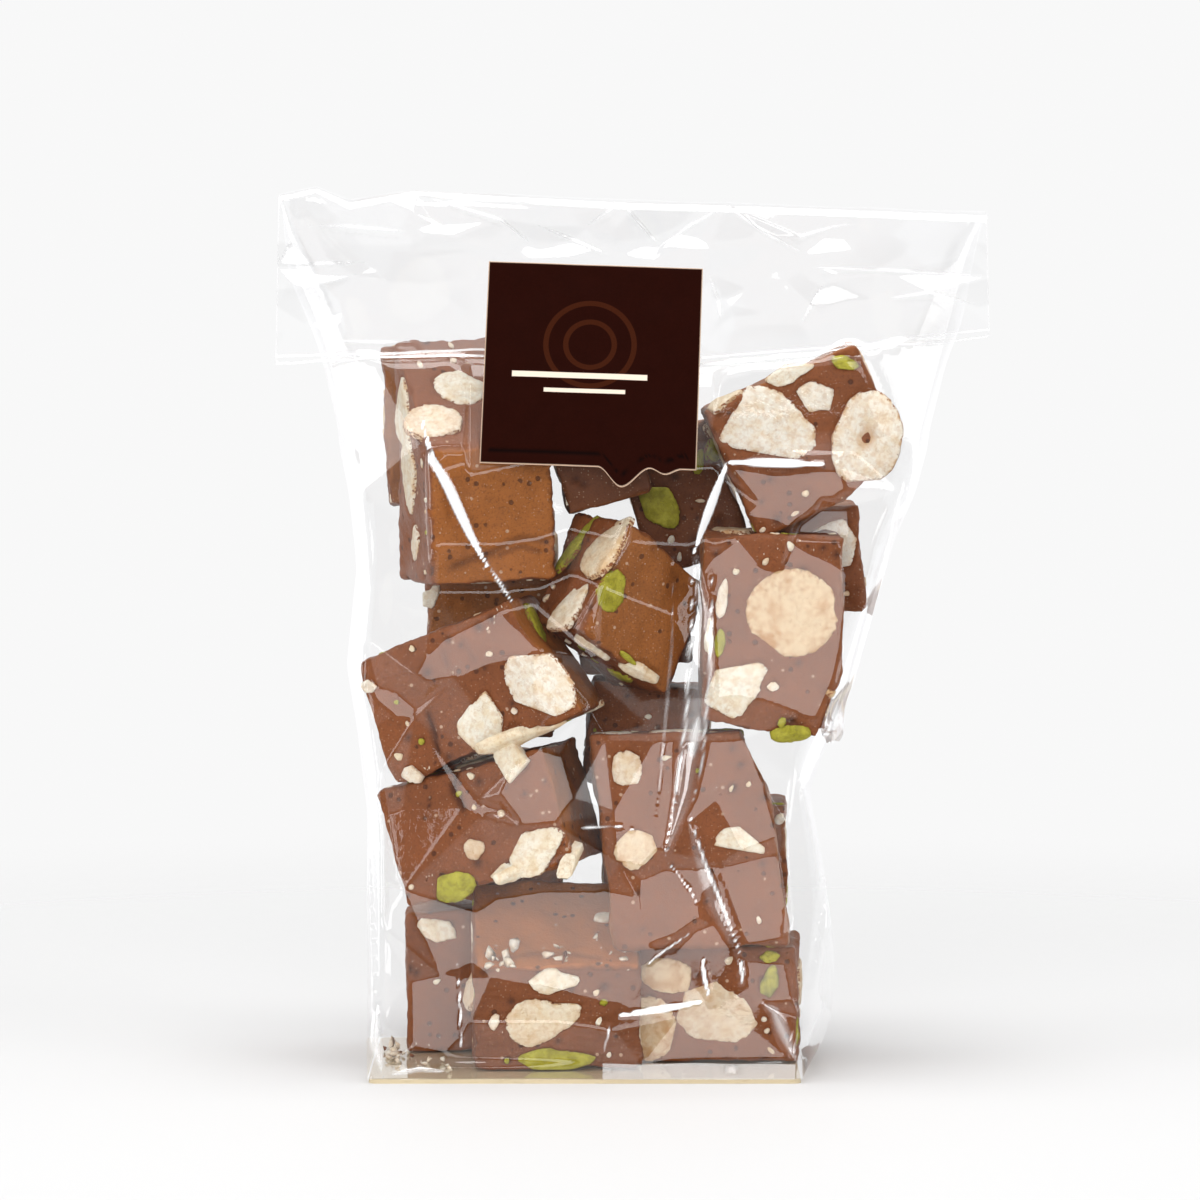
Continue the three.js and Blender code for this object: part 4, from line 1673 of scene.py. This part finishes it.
    def pleats(self, places: Array) -> Array:
        """How far narrow folds stand out along the bright streaks of the photo."""
        height = np.zeros(len(places))
        for streak in STREAKS:
            height = np.maximum(height, streak.rise * np.clip(streak.mask(places), 0, 1) ** 0.7)
        return height

    def gathered(self, places: Array) -> Array:
        """How gathered the film is: above 0 on a streak. It sets the film's mirror and its painted highlight.
        """
        return np.max([streak.mask(places) * streak.strength for streak in STREAKS], axis=0)

    def behind_flap(self, grid: Array, flap: "Flap") -> Array:
        """The front of the film kept behind the folded-over top and the sticker.

        Args:
            grid: the film.
            flap: the folded-over top.

        Returns:
            The grid, moved.
        """
        flat = grid.reshape(-1, 3)
        under_flap = smooth_step(-5.0, 0.5, flat[:, 2] - at_width(flap.hem, flat[:, 0]))
        beside = np.abs(flat[:, 0] - Sticker.middle[0]) - Sticker.side / 2
        under_sticker = (1 - smooth_step(2.0, 7.0, beside)) * smooth_step(100.0, 107.0, flat[:, 2])
        limit = 6.0 - 6.0 * under_sticker
        limit = limit + under_flap * (flap.layers[-1] - 0.5 - limit)
        spare = np.clip(flap.ahead_of_slope(flat) - limit, 0, None)
        return self.push_out(flat - np.array(SLOPE.out()) * spare[:, None], self.rest_gap).reshape(grid.shape)

    def bottom(self, ring: Array) -> Array:
        """The bottom sheet over the card, as rings from the wall inwards."""
        middle = ring.mean(axis=0)
        shares = np.array([1.0, 0.985, 0.96, 0.9, 0.8, 0.65, 0.45, 0.2])[:, None, None]
        sheet = middle + (ring - middle) * shares
        flat = sheet.reshape(-1, 3)
        sheet[:, :, 2] = 0.97 + 0.07 * lumps(flat[:, :2], 26.0, 8, 2).reshape(sheet.shape[:2])
        sheet[0] = ring
        return sheet

    def add_band(self, shape: Shape) -> None:
        """The doubled strip where the bottom is folded up and sealed to the front."""
        ends, top = self.band
        across, up = np.meshgrid(np.linspace(*ends, 60), np.linspace(0.0, 1.0, 8))
        wave = lumps(across.reshape(-1, 1), 30.0, 4, 2).reshape(up.shape)
        height = 0.9 + up * (top + 0.25 * wave)
        wave = lumps(np.stack([across.ravel(), height.ravel()], -1), 9.0, 6, 2).reshape(up.shape)
        depth = -self.card_depth / 2 - 0.75 - 0.12 * wave
        # Its gathered value gives the band some mirror and some painted highlight.
        shape.add_grid(np.stack([across, depth, height], -1), gathered=self.band_gather)

    def build(self, nougat: Nougat) -> None:
        """Makes the film: the bag, and its folded-over top.

        Args:
            nougat: the blocks inside.
        """
        bag, top = Shape(), Shape()
        flap = Flap(self.fold_line)
        body = self.behind_flap(self.crease(self.drape(self.taut_grid()), nougat), flap)
        points = body.reshape(-1, 3)
        facing = ring_normals(body)[:, 1] < -0.05
        bag.add_grid(body, True, gathered=np.where(facing, self.gathered(points), -1.0))
        tree = BVHTree.FromPolygons(points.tolist(), bag.faces)
        bag.add_grid(self.bottom(body[0]), True, gathered=-1.0)
        self.add_band(bag)
        flap.add_to(top, tree)
        material = FilmFinish().material()
        report(bag.object("film_bag", material), "bag")
        report(top.object("film_top", material), "bag")


@dataclass(frozen=True)
class Plate:
    """A flat part of the front film, by its corners in pixels.

    It leans back and turns to the right by its two angles, in degrees, and lies at the depth or, where
    that would cut a block, just ahead of the block.
    """

    corners: Line
    lean: float
    turn: float = -3.0
    depth: float = -22.4
    gap: float = 0.8

    def knots(self, nougat: Nougat) -> list[Triple]:
        """Its corners in space."""
        lean, turn = radians(self.lean), radians(self.turn)
        out = np.array([math.sin(turn) * math.cos(lean), -math.cos(turn) * math.cos(lean), math.sin(lean)])
        middle = np.mean(self.corners, axis=0)
        level = np.array(PHOTO.at_depth(*middle, self.depth)) @ out
        for corner in self.corners:
            for share in (0.95, 0.6, 0.3):
                hit = nougat.front(*(middle + share * (np.array(corner) - middle)))
                if hit is not None:
                    level = max(level, hit @ out + self.gap)
        found = []
        for corner in self.corners:
            start, way = PHOTO.ray(*corner)
            reach = (level - np.array(start) @ out) / (np.array(way) @ out)
            found.append(tuple(start + way * reach))
        return found


PLATES = (
    Plate(((730, 467), (762, 506), (780, 519), (793, 525), (813, 510), (823, 498), (815, 484),
           (776, 475)), 5),
    Plate(((716, 555), (735, 556), (757, 567), (779, 574), (815, 582), (834, 574), (846, 556), (846, 600),
           (840, 650), (832, 722), (800, 715), (765, 702), (735, 698), (714, 700)), 5.5, 4),
    Plate(((824, 469), (840, 470), (845, 490), (830, 500)), 4.5, 0),
    Plate(((800, 524), (820, 508), (846, 508), (848, 530), (836, 534)), 5, 2, -20.5),
    Plate(((417, 675), (427, 656), (446, 638), (468, 627), (500, 625), (519, 633), (535, 651), (527, 656),
           (506, 654), (487, 664), (455, 678), (427, 683)), 6.5),
    Plate(((376, 684), (396, 690), (417, 708), (414, 718), (396, 716), (379, 702)), 6.5, -10, -20.5),
    Plate(((463, 807), (478, 801), (495, 806), (505, 814), (480, 815)), 7),
    Plate(((499, 795), (512, 768), (540, 750), (560, 756), (573, 800), (556, 824), (522, 826)), 6.5),
    Plate(((388, 812), (402, 808), (404, 890), (398, 880)), 6.5, -14, -21),
    Plate(((476, 912), (500, 897), (545, 890), (600, 890), (636, 897), (637, 940), (633, 975), (622, 1002),
           (600, 1000), (540, 984), (492, 976), (474, 962)), 8.5, depth=-24),
    Plate(((413, 980), (440, 974), (459, 977), (458, 1040), (445, 1052), (414, 1046)), 8, depth=-25.2),
    Plate(((656, 740), (614, 812), (618, 862), (640, 868), (656, 850)), 7),
    Plate(((716, 740), (745, 738), (762, 782), (778, 838), (742, 852), (716, 800)), 7, 3),
    Plate(((722, 866), (778, 852), (785, 900), (780, 938), (750, 944)), 10.5, 4),
    Plate(((642, 878), (662, 870), (696, 905), (700, 918), (676, 934), (648, 944)), 8.5),
    Plate(((695, 930), (710, 924), (728, 936), (736, 952), (672, 954)), 7.5),
    Plate(((680, 1016), (706, 1010), (750, 1030), (782, 1054), (780, 1060), (680, 1060)), 8.5, 2, -26),
    Plate(((746, 960), (784, 962), (792, 1000), (764, 1004), (750, 985)), 8.5, 2, -24.6),
    Plate(((433, 472), (484, 456), (540, 456), (536, 540), (500, 545), (440, 545)), -1, 5, -22.6, gap=0.3),
    Plate(((556, 456), (704, 456), (700, 478), (688, 545), (640, 543), (568, 530), (560, 490)), -2, -1, -22.2,
          gap=0.3),
    Plate(((724, 478), (748, 514), (735, 540), (712, 545), (702, 540), (712, 500)), -2, -1, -22.2, gap=0.3),
    Plate(((572, 574), (630, 598), (672, 614), (664, 700), (640, 704), (600, 660)), -2.5, gap=0.3),
    Plate(((440, 592), (500, 592), (540, 588), (534, 604), (500, 612), (456, 624)), -3, 5, -24.9, gap=0.5),
    Plate(((596, 676), (642, 716), (646, 727), (606, 738), (588, 706)), -3),
    Plate(((470, 1022), (560, 1022), (612, 1030), (612, 1062), (470, 1062)), 0, depth=-26.9),
)


@dataclass(frozen=True)
class Streak:
    """A tight fold of the front film that tapers to both ends, by its line in pixels. Its strength sets how
    much it mirrors and how much painted highlight it gets.
    """

    line: Line
    width: float
    rise: float = 0.15
    strength: float = 1.0
    depth: float = -24.0

    def mask(self, places: Array) -> Array:
        """1 along its middle, 0 at its sides and below 0 beyond them."""
        spots = [PHOTO.at_depth(*pixel, self.depth) for pixel in self.line]
        gap, along = distance_to_line(places[:, [0, 2]], [(x, z) for x, _, z in spots])
        half = self.width / 2 * np.sin(pi * np.clip(along, 0.001, 0.999)) ** 1.1
        return np.clip(1 - gap / np.maximum(half, 0.05), -1, 1)


STREAKS = (
    Streak(((422, 424), (432, 458), (449, 489), (470, 535), (490, 572)), 2.2),
    Streak(((486, 562), (515, 606)), 0.9, 0.2, 0.4),
    Streak(((729, 458), (714, 498), (706, 520), (693, 556)), 1.9),
    Streak(((725, 463), (770, 463), (826, 465)), 1.9),
    Streak(((673, 560), (672, 640), (664, 740), (655, 830)), 1.2, 0.3, 0.09),
    Streak(((695, 552), (702, 610), (697, 700), (686, 790), (664, 862)), 7.2, 1.1, 0.085),
    Streak(((692, 560), (691, 640), (686, 720), (675, 800), (664, 858)), 0.7, 1.2, 0.3),
    Streak(((713, 556), (711, 640), (703, 760), (690, 818)), 0.9, 0.5, 0.22),
    Streak(((699, 714), (695, 735), (692, 762)), 3.4, 1.1, 0.26),
    Streak(((690, 815), (705, 863), (722, 905), (741, 955)), 1, 0.4, 0.35),
    Streak(((686, 812), (696, 850), (712, 900), (738, 958)), 3.6, 0.3, 0.07),
    Streak(((664, 858), (690, 890), (703, 918)), 0.5, 0.3, 0.3),
    Streak(((618, 1013), (660, 1008), (690, 1003), (707, 1000)), 1.5),
    Streak(((703, 955), (704, 975), (710, 1001)), 1, 0.5, 0.6),
    Streak(((740, 955), (742, 975), (741, 985)), 0.9, 0.5, 0.5),
    Streak(((759, 1000), (775, 1010), (797, 1062)), 3.4, 0.3, 0.14),
    Streak(((640, 970), (665, 950), (695, 930)), 0.6, 0.3, 0.35),
    Streak(((612, 1014), (606, 1040), (604, 1062)), 0.6, 0.3, 0.3),
    Streak(((457, 962), (460, 1000), (462, 1060)), 0.6, 0.3, 0.3),
    Streak(((572, 828), (612, 826), (640, 832)), 0.6, 0.3, 0.3),
    Streak(((378, 1000), (376, 1040), (384, 1074)), 3, 0.3, 0.2),
    Streak(((384, 1074), (420, 1066), (452, 1070)), 1.6, 0.3, 0.2),
)


@dataclass
class Flap:
    """The folded-over top: two layers down the front slope to a cut hem."""

    fold_line: Line
    hem: Line = ((-66.4, 134.2), (-30, 135.4), (-8, 134.6), (13, 133.8), (44, 136.6), (66.4, 139.3))
    layers: Pair = (-0.15, -1.5)
    rows: int = 74
    columns: int = 300
    turn_radius: float = 1.4
    fold_width: float = 1.0
    fold_strength: float = 0.24
    edge_strength: float = 0.2
    folds: tuple[tuple[Triple, ...], ...] = (
        ((280, 197, 0.2), (292, 240, 0.9), (277, 265, 0.1)),
        ((275, 267, 0.2), (322, 263, -0.9), (370, 262, 0.2)),
        ((297, 287, 0.8), (357, 274, -0.2)),
        ((300, 225, -0.9), (350, 226, 0.9), (415, 232, 0.9)),
        ((412, 212, 0.9), (434, 222, -0.2), (455, 235, 0.7)),
        ((417, 194, -0.6), (500, 219, 0.9), (540, 250, -0.4)),
        ((535, 224, 0.7), (570, 238, -0.6), (610, 255, 0.6)),
        ((620, 203, 0.9), (585, 227, -0.5)),
        ((622, 203, 0.9), (660, 246, -0.7)),
        ((725, 206, 0.8), (690, 225, -0.5), (662, 246, 0.6)),
        ((727, 206, 0.8), (765, 232, -0.7), (805, 254, 0.8)),
        ((732, 206, 0.2), (800, 236, 0.9), (835, 226, -0.6), (865, 222, 0.6)),
        ((805, 267, 0.9), (890, 270, -0.6), (990, 276, 0.5)),
        ((708, 272, 0.9), (718, 300, -0.3), (722, 325, 0.8)),
        ((825, 280, 0.9), (812, 304, -0.5), (800, 325, 0.7)),
        ((880, 300, -0.6), (930, 292, 0.9), (980, 306, -0.2)),
        ((335, 340, 0.8), (375, 342, -0.5), (415, 342, 0.6)),
    )

    def ahead_of_slope(self, points: Array) -> Array:
        """How far points stand in front of the slope."""
        back = points[:, 1] - SLOPE.foot_depth
        rise = points[:, 2] - SLOPE.foot_height
        return rise * math.sin(SLOPE.angle) - back * math.cos(SLOPE.angle)

    def layer(self, ahead: float, number: int, body: BVHTree) -> Array:
        """One layer as rows of points from the fold down to the hem.

        Args:
            ahead: where it lies, in front of the slope.
            number: 0 for the outer one.
            body: the film that it hangs in front of.

        Returns:
            The grid of points.
        """
        across = np.linspace(self.fold_line[0][0], self.fold_line[-1][0], self.columns)
        top = SLOPE.up_to(at_width(self.fold_line, across))
        low = SLOPE.up_to(at_width(self.hem, across) - 0.7 * number)
        share = np.linspace(0, 1, self.rows)[:, None]
        up = top - 1.2 + (low - top + 1.2) * share
        spread = np.broadcast_to(across, up.shape)
        flat = np.stack([spread.ravel(), up.ravel()], -1)
        folds = tuple(tuple((*SLOPE.seen(a, b), height) for a, b, height in fold) for fold in self.folds)
        relief = Relief(31 + number, 9.0, 0.7, folds if number == 0 else ()).height(
            flat, (-68.0, 18.0), (68.0, 58.0))
        relief = (relief - 0.6) * self.slack(flat)
        depth = (ahead + relief).reshape(up.shape)
        wave = 0.35 * lumps(flat, 30.0, 5 + number, 2).reshape(up.shape) * self.slack(flat).reshape(up.shape)
        depth = np.minimum(depth + wave, 0.12)
        gap = 0.9 - 0.55 * number
        depth = np.maximum(depth, self.reach_of(body, spread, up) + gap)
        down = SLOPE.place(spread, up, depth)
        return np.concatenate([self.turn(down[0], number), down])

    def gathered(self, grid: Array, number: int) -> Array:
        """How gathered the outer layer is along its folds, which sets its mirror and its painted highlight.
        """
        points = grid.reshape(-1, 3)
        edge = np.full(grid.shape[:2], -1.0)
        edge[-1] = edge[-2] = edge[:, 0] = edge[:, -1] = self.edge_strength
        if number:
            return edge.ravel()
        flat = np.stack([points[:, 0], SLOPE.up_to(points[:, 2])], -1)
        found = edge.ravel()
        for fold in self.folds:
            gap, along = distance_to_line(flat, [SLOPE.seen(across, down) for across, down, _ in fold])
            half = self.fold_width / 2 * np.sin(pi * np.clip(along, 0.001, 0.999))
            found = np.maximum(found, self.fold_strength * (1 - gap / np.maximum(half, 0.05)))
        return np.clip(found, -1, 1)

    def reach_of(self, body: BVHTree, across: Array, up: Array) -> Array:
        """How far ahead of the slope the film behind the flap stands, smoothed."""
        starts = SLOPE.place(across, up, np.full(up.shape, 12.0))
        reach = np.full(up.shape, -9.0)
        for row in range(up.shape[0]):
            for column in range(0, up.shape[1], 2):
                _, _, _, gap = body.ray_cast(Vector(starts[row, column]), -SLOPE.out())
                if gap is not None:
                    reach[row, column:column + 2] = 12.0 - gap
        for _ in range(6):
            wide = np.pad(reach, 1, mode="edge")
            around = (wide[2:, 1:-1] + wide[:-2, 1:-1] + wide[1:-1, 2:] + wide[1:-1, :-2]) / 4
            reach = np.maximum(reach, around)
        return reach

    def turn(self, first: Array, number: int) -> Array:
        """The arc over the fold, from the back of the film to the flap's first row."""
        steps = np.linspace(0, 1, 7)[:-1, None, None]
        radius = self.turn_radius - 0.5 * number
        peak = at_width(self.fold_line, first[:, 0])
        start = np.stack([first[:, 0], np.full(len(first), 1.0 - 0.4 * number), peak - 1.2], -1)
        flat = start + (first - start) * steps
        flat[:, :, 2] += radius * np.sin(pi * steps[:, :, 0])
        return flat

    def slack(self, flat: Array) -> Array:
        """How free the flap is to wrinkle: 0 under the sticker."""
        middle = (Sticker.middle[0], SLOPE.up_to(Sticker.middle[1]))
        half = Sticker.side / 2
        beside = np.maximum(np.abs(flat[:, 0] - middle[0]), np.abs(flat[:, 1] - middle[1])) - half
        return smooth_step(0.5, 6.0, beside)

    def add_to(self, shape: Shape, body: BVHTree) -> None:
        """Adds both layers to the film's shape."""
        for number, ahead in enumerate(self.layers):
            grid = self.layer(ahead, number, body)
            shape.add_grid(grid, gathered=self.gathered(grid, number))


@dataclass
class Sticker:
    """The square sticker with drips along its lower edge, lying on the flap."""

    side: float = 40.0
    middle: Pair = (-7.6, 132.4)
    turn: float = radians(-2.1)
    ahead: float = 0.3
    thickness: float = 0.35
    drips: tuple[tuple[float, float, float, float], ...] = ((1.8, 6.3, 11.5, 3.8), (11.5, 14.3, 17.3, 1.1))
    rings: int = 30
    segments: int = 320
    rule_height: float = 2.6

    def lower_edge(self, across: Array) -> Array:
        """How far below the square's lower side the edge lies."""
        drop = np.zeros_like(across)
        for start, lowest, end, depth in self.drips:
            rise = smooth_step(start, lowest, across) * (1 - smooth_step(lowest, end, across))
            drop += depth * rise
        return drop

    def outline(self) -> Array:
        """Points round the outline, about the sticker's middle."""
        angle = np.linspace(0, 2 * pi, self.segments, endpoint=False) + pi / 4
        way = np.stack([np.cos(angle), np.sin(angle)], -1)
        edge = way / np.abs(way).max(axis=1, keepdims=True) * self.side / 2
        low = edge[:, 1] <= -self.side / 2 + 1e-6
        edge[low, 1] -= self.lower_edge(edge[low, 0])
        return edge

    def place(self, flat: Array, ahead: Array) -> Array:
        """Places about the sticker's middle, laid on the slope."""
        cos, sin = math.cos(self.turn), math.sin(self.turn)
        across = flat[:, 0] * cos - flat[:, 1] * sin + self.middle[0]
        up = flat[:, 0] * sin + flat[:, 1] * cos + SLOPE.up_to(self.middle[1])
        return SLOPE.place(across, up, ahead)

    def build(self) -> None:
        """Makes the sticker."""
        edge = self.outline()
        shares = np.concatenate([np.linspace(0.02, 0.97, self.rings), [0.985, 1.0, 1.0, 0.98]])
        levels = np.concatenate([np.full(self.rings + 1, self.thickness), [self.thickness - 0.08, 0.06, 0.0]])
        flat = (edge[None] * shares[:, None, None]).reshape(-1, 2)
        level = np.repeat(levels, len(edge))
        low_edge = flat[:, 1] + self.side / 2 + self.lower_edge(flat[:, 0]) * np.clip(-flat[:, 1] / 20, 0, 1)
        pressed = np.exp(-((low_edge - self.rule_height) / 0.22) ** 2)
        pressed *= np.abs(flat[:, 0]) < self.side / 2 - 1.5
        level = level - 0.07 * pressed * (level > 0.2)
        level += 0.05 * (lumps(flat, 16.0, 3, 2) + 1) * (level > 0.2)
        ahead = self.ahead + level
        shape = Shape()
        rim = np.repeat(np.concatenate([shares[:self.rings + 1] * 0.5, [0.8, 1.0, 1.0]]), len(edge))
        faces = [face[::-1] for face in grid_faces(len(shares), len(edge), wrap=True)]
        shape.add(self.place(flat, ahead), faces, across=flat[:, 0], up=flat[:, 1], rim=rim, pressed=pressed)
        shape.add(shape.points[0][:len(edge)], [tuple(range(len(edge)))],
                  across=flat[:len(edge), 0], up=flat[:len(edge), 1], rim=0.0, pressed=0.0)
        report(shape.object("sticker_print", StickerFinish().material()), "sticker")


@dataclass
class Studio:
    """Camera, floor, backdrop and lights."""

    backdrop: Colour = (0.94, 0.94, 0.94, 1.0)
    ambient: Colour = (0.32, 0.32, 0.32, 1.0)
    dim_room: Colour = (0.12, 0.12, 0.125, 1.0)
    pale_room: Colour = (1.08, 1.08, 1.09, 1.0)
    ground: Colour = (0.83, 0.83, 0.83, 1.0)
    ground_fade: Pair = (0.05, 0.42)

    def build(self) -> None:
        """Makes the whole studio."""
        PHOTO.camera()
        self.world()
        self.floor()
        self.softbox("softbox_front", (-6.0, 8.0), 1.3, (1.2, 0.34), 2.95)
        self.softbox("softbox_left", (-70.0, 12.0), 1.2, (0.4, 0.9), 2.8)
        self.softbox("softbox_right", (62.0, 14.0), 1.2, (0.4, 0.9), 2.6)
        self.softbox("softbox_top", (0.0, 84.0), 1.2, (0.8, 0.8), 5.4)
        self.softbox("fill_front", (-8.0, 12.0), 1.3, (1.2, 0.6), 3.0, glossy=False)
        bpy.context.scene.view_settings.view_transform = "Standard"

    def world(self) -> None:
        """A pale backdrop that the film mirrors from behind, with a dim room in front."""
        world = bpy.data.worlds.new("studio")
        world.use_nodes = True
        world.node_tree.nodes.clear()
        tree = Tree(world.node_tree)
        path = tree.node("ShaderNodeLightPath")
        way = tree.node("ShaderNodeSeparateXYZ", {0: tree.node("ShaderNodeTexCoord").outputs["Generated"]})
        behind = tree.ramp(way.outputs["Y"], -0.8, -0.4)
        above = tree.ramp(way.outputs["Z"], 0.46, 0.66)
        room = tree.blend(tree.math("MAXIMUM", behind, above), self.dim_room, self.pale_room)
        seen = tree.blend(path.outputs["Is Glossy Ray"], self.ambient, room)
        seen = tree.blend(path.outputs["Is Camera Ray"], seen, self.backdrop)
        light = tree.node("ShaderNodeBackground", {"Color": seen})
        tree.node("ShaderNodeOutputWorld", {"Surface": light.outputs[0]})
        bpy.context.scene.world = world

    def floor(self) -> None:
        """A pale floor that fades into the backdrop."""
        shape = Shape()
        angle = np.linspace(0, 2 * pi, 96, endpoint=False)
        ring = np.stack([np.cos(angle), np.sin(angle), 0 * angle], -1)
        shape.add_grid(np.stack([ring, ring * 1200]), True)
        material, tree = new_material("floor")
        away = tree.node("ShaderNodeVectorMath", {0: tree.place()}, operation="LENGTH").outputs["Value"]
        near, far = self.ground_fade
        fade = tree.node("ShaderNodeMapRange", {"Value": away, "From Min": near, "From Max": far},
                         interpolation_type="SMOOTHSTEP").outputs[0]
        matt = tree.node("ShaderNodeBsdfPrincipled", {"Base Color": self.ground, "Roughness": 0.7})
        through = tree.node("ShaderNodeBsdfTransparent")
        tree.end(tree.node("ShaderNodeMixShader", {0: fade, 1: matt.outputs[0], 2: through.outputs[0]}))
        shape.object("floor", material)

    def softbox(self, name: str, bearing: Pair, distance: float, size: Pair, glow: float,
                glossy: bool = True) -> None:
        """One rectangular light aimed at the bag's middle.

        Args:
            name: name of the light.
            bearing: degrees round from the front, to the right, and degrees up.
            distance: metres from the bag.
            size: its width and height, in metres.
            glow: its brightness, 1 being white paper in full light.
            glossy: whether the film mirrors it.
        """
        data = bpy.data.lights.new(name, "AREA")
        data.shape = "RECTANGLE"
        data.size, data.size_y = size
        data.energy = glow * pi * size[0] * size[1]
        light = link(name, data)
        round_, up = (radians(angle) for angle in bearing)
        way = Vector((math.sin(round_) * math.cos(up), -math.cos(round_) * math.cos(up), math.sin(up)))
        light.location = Vector((0, 0, 0.08)) + way * distance
        light.rotation_mode = "QUATERNION"
        light.rotation_quaternion = way.to_track_quat("Z", "Y")
        light.visible_camera = False
        light.visible_glossy = glossy


def dress_card() -> None:
    """Gives the base card its finish."""
    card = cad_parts["base_card"]
    card.data.materials.clear()
    card.data.materials.append(CardFinish().material())


def main() -> None:
    """Builds the studio and every piece in order."""
    logging.basicConfig(level=logging.INFO, format="%(message)s")
    Studio().build()
    nougat = Nougat()
    nougat.build()
    Crumbs(nougat).build()
    Film().build(nougat)
    Sticker().build()
    dress_card()


if __name__ == "__main__":
    main()
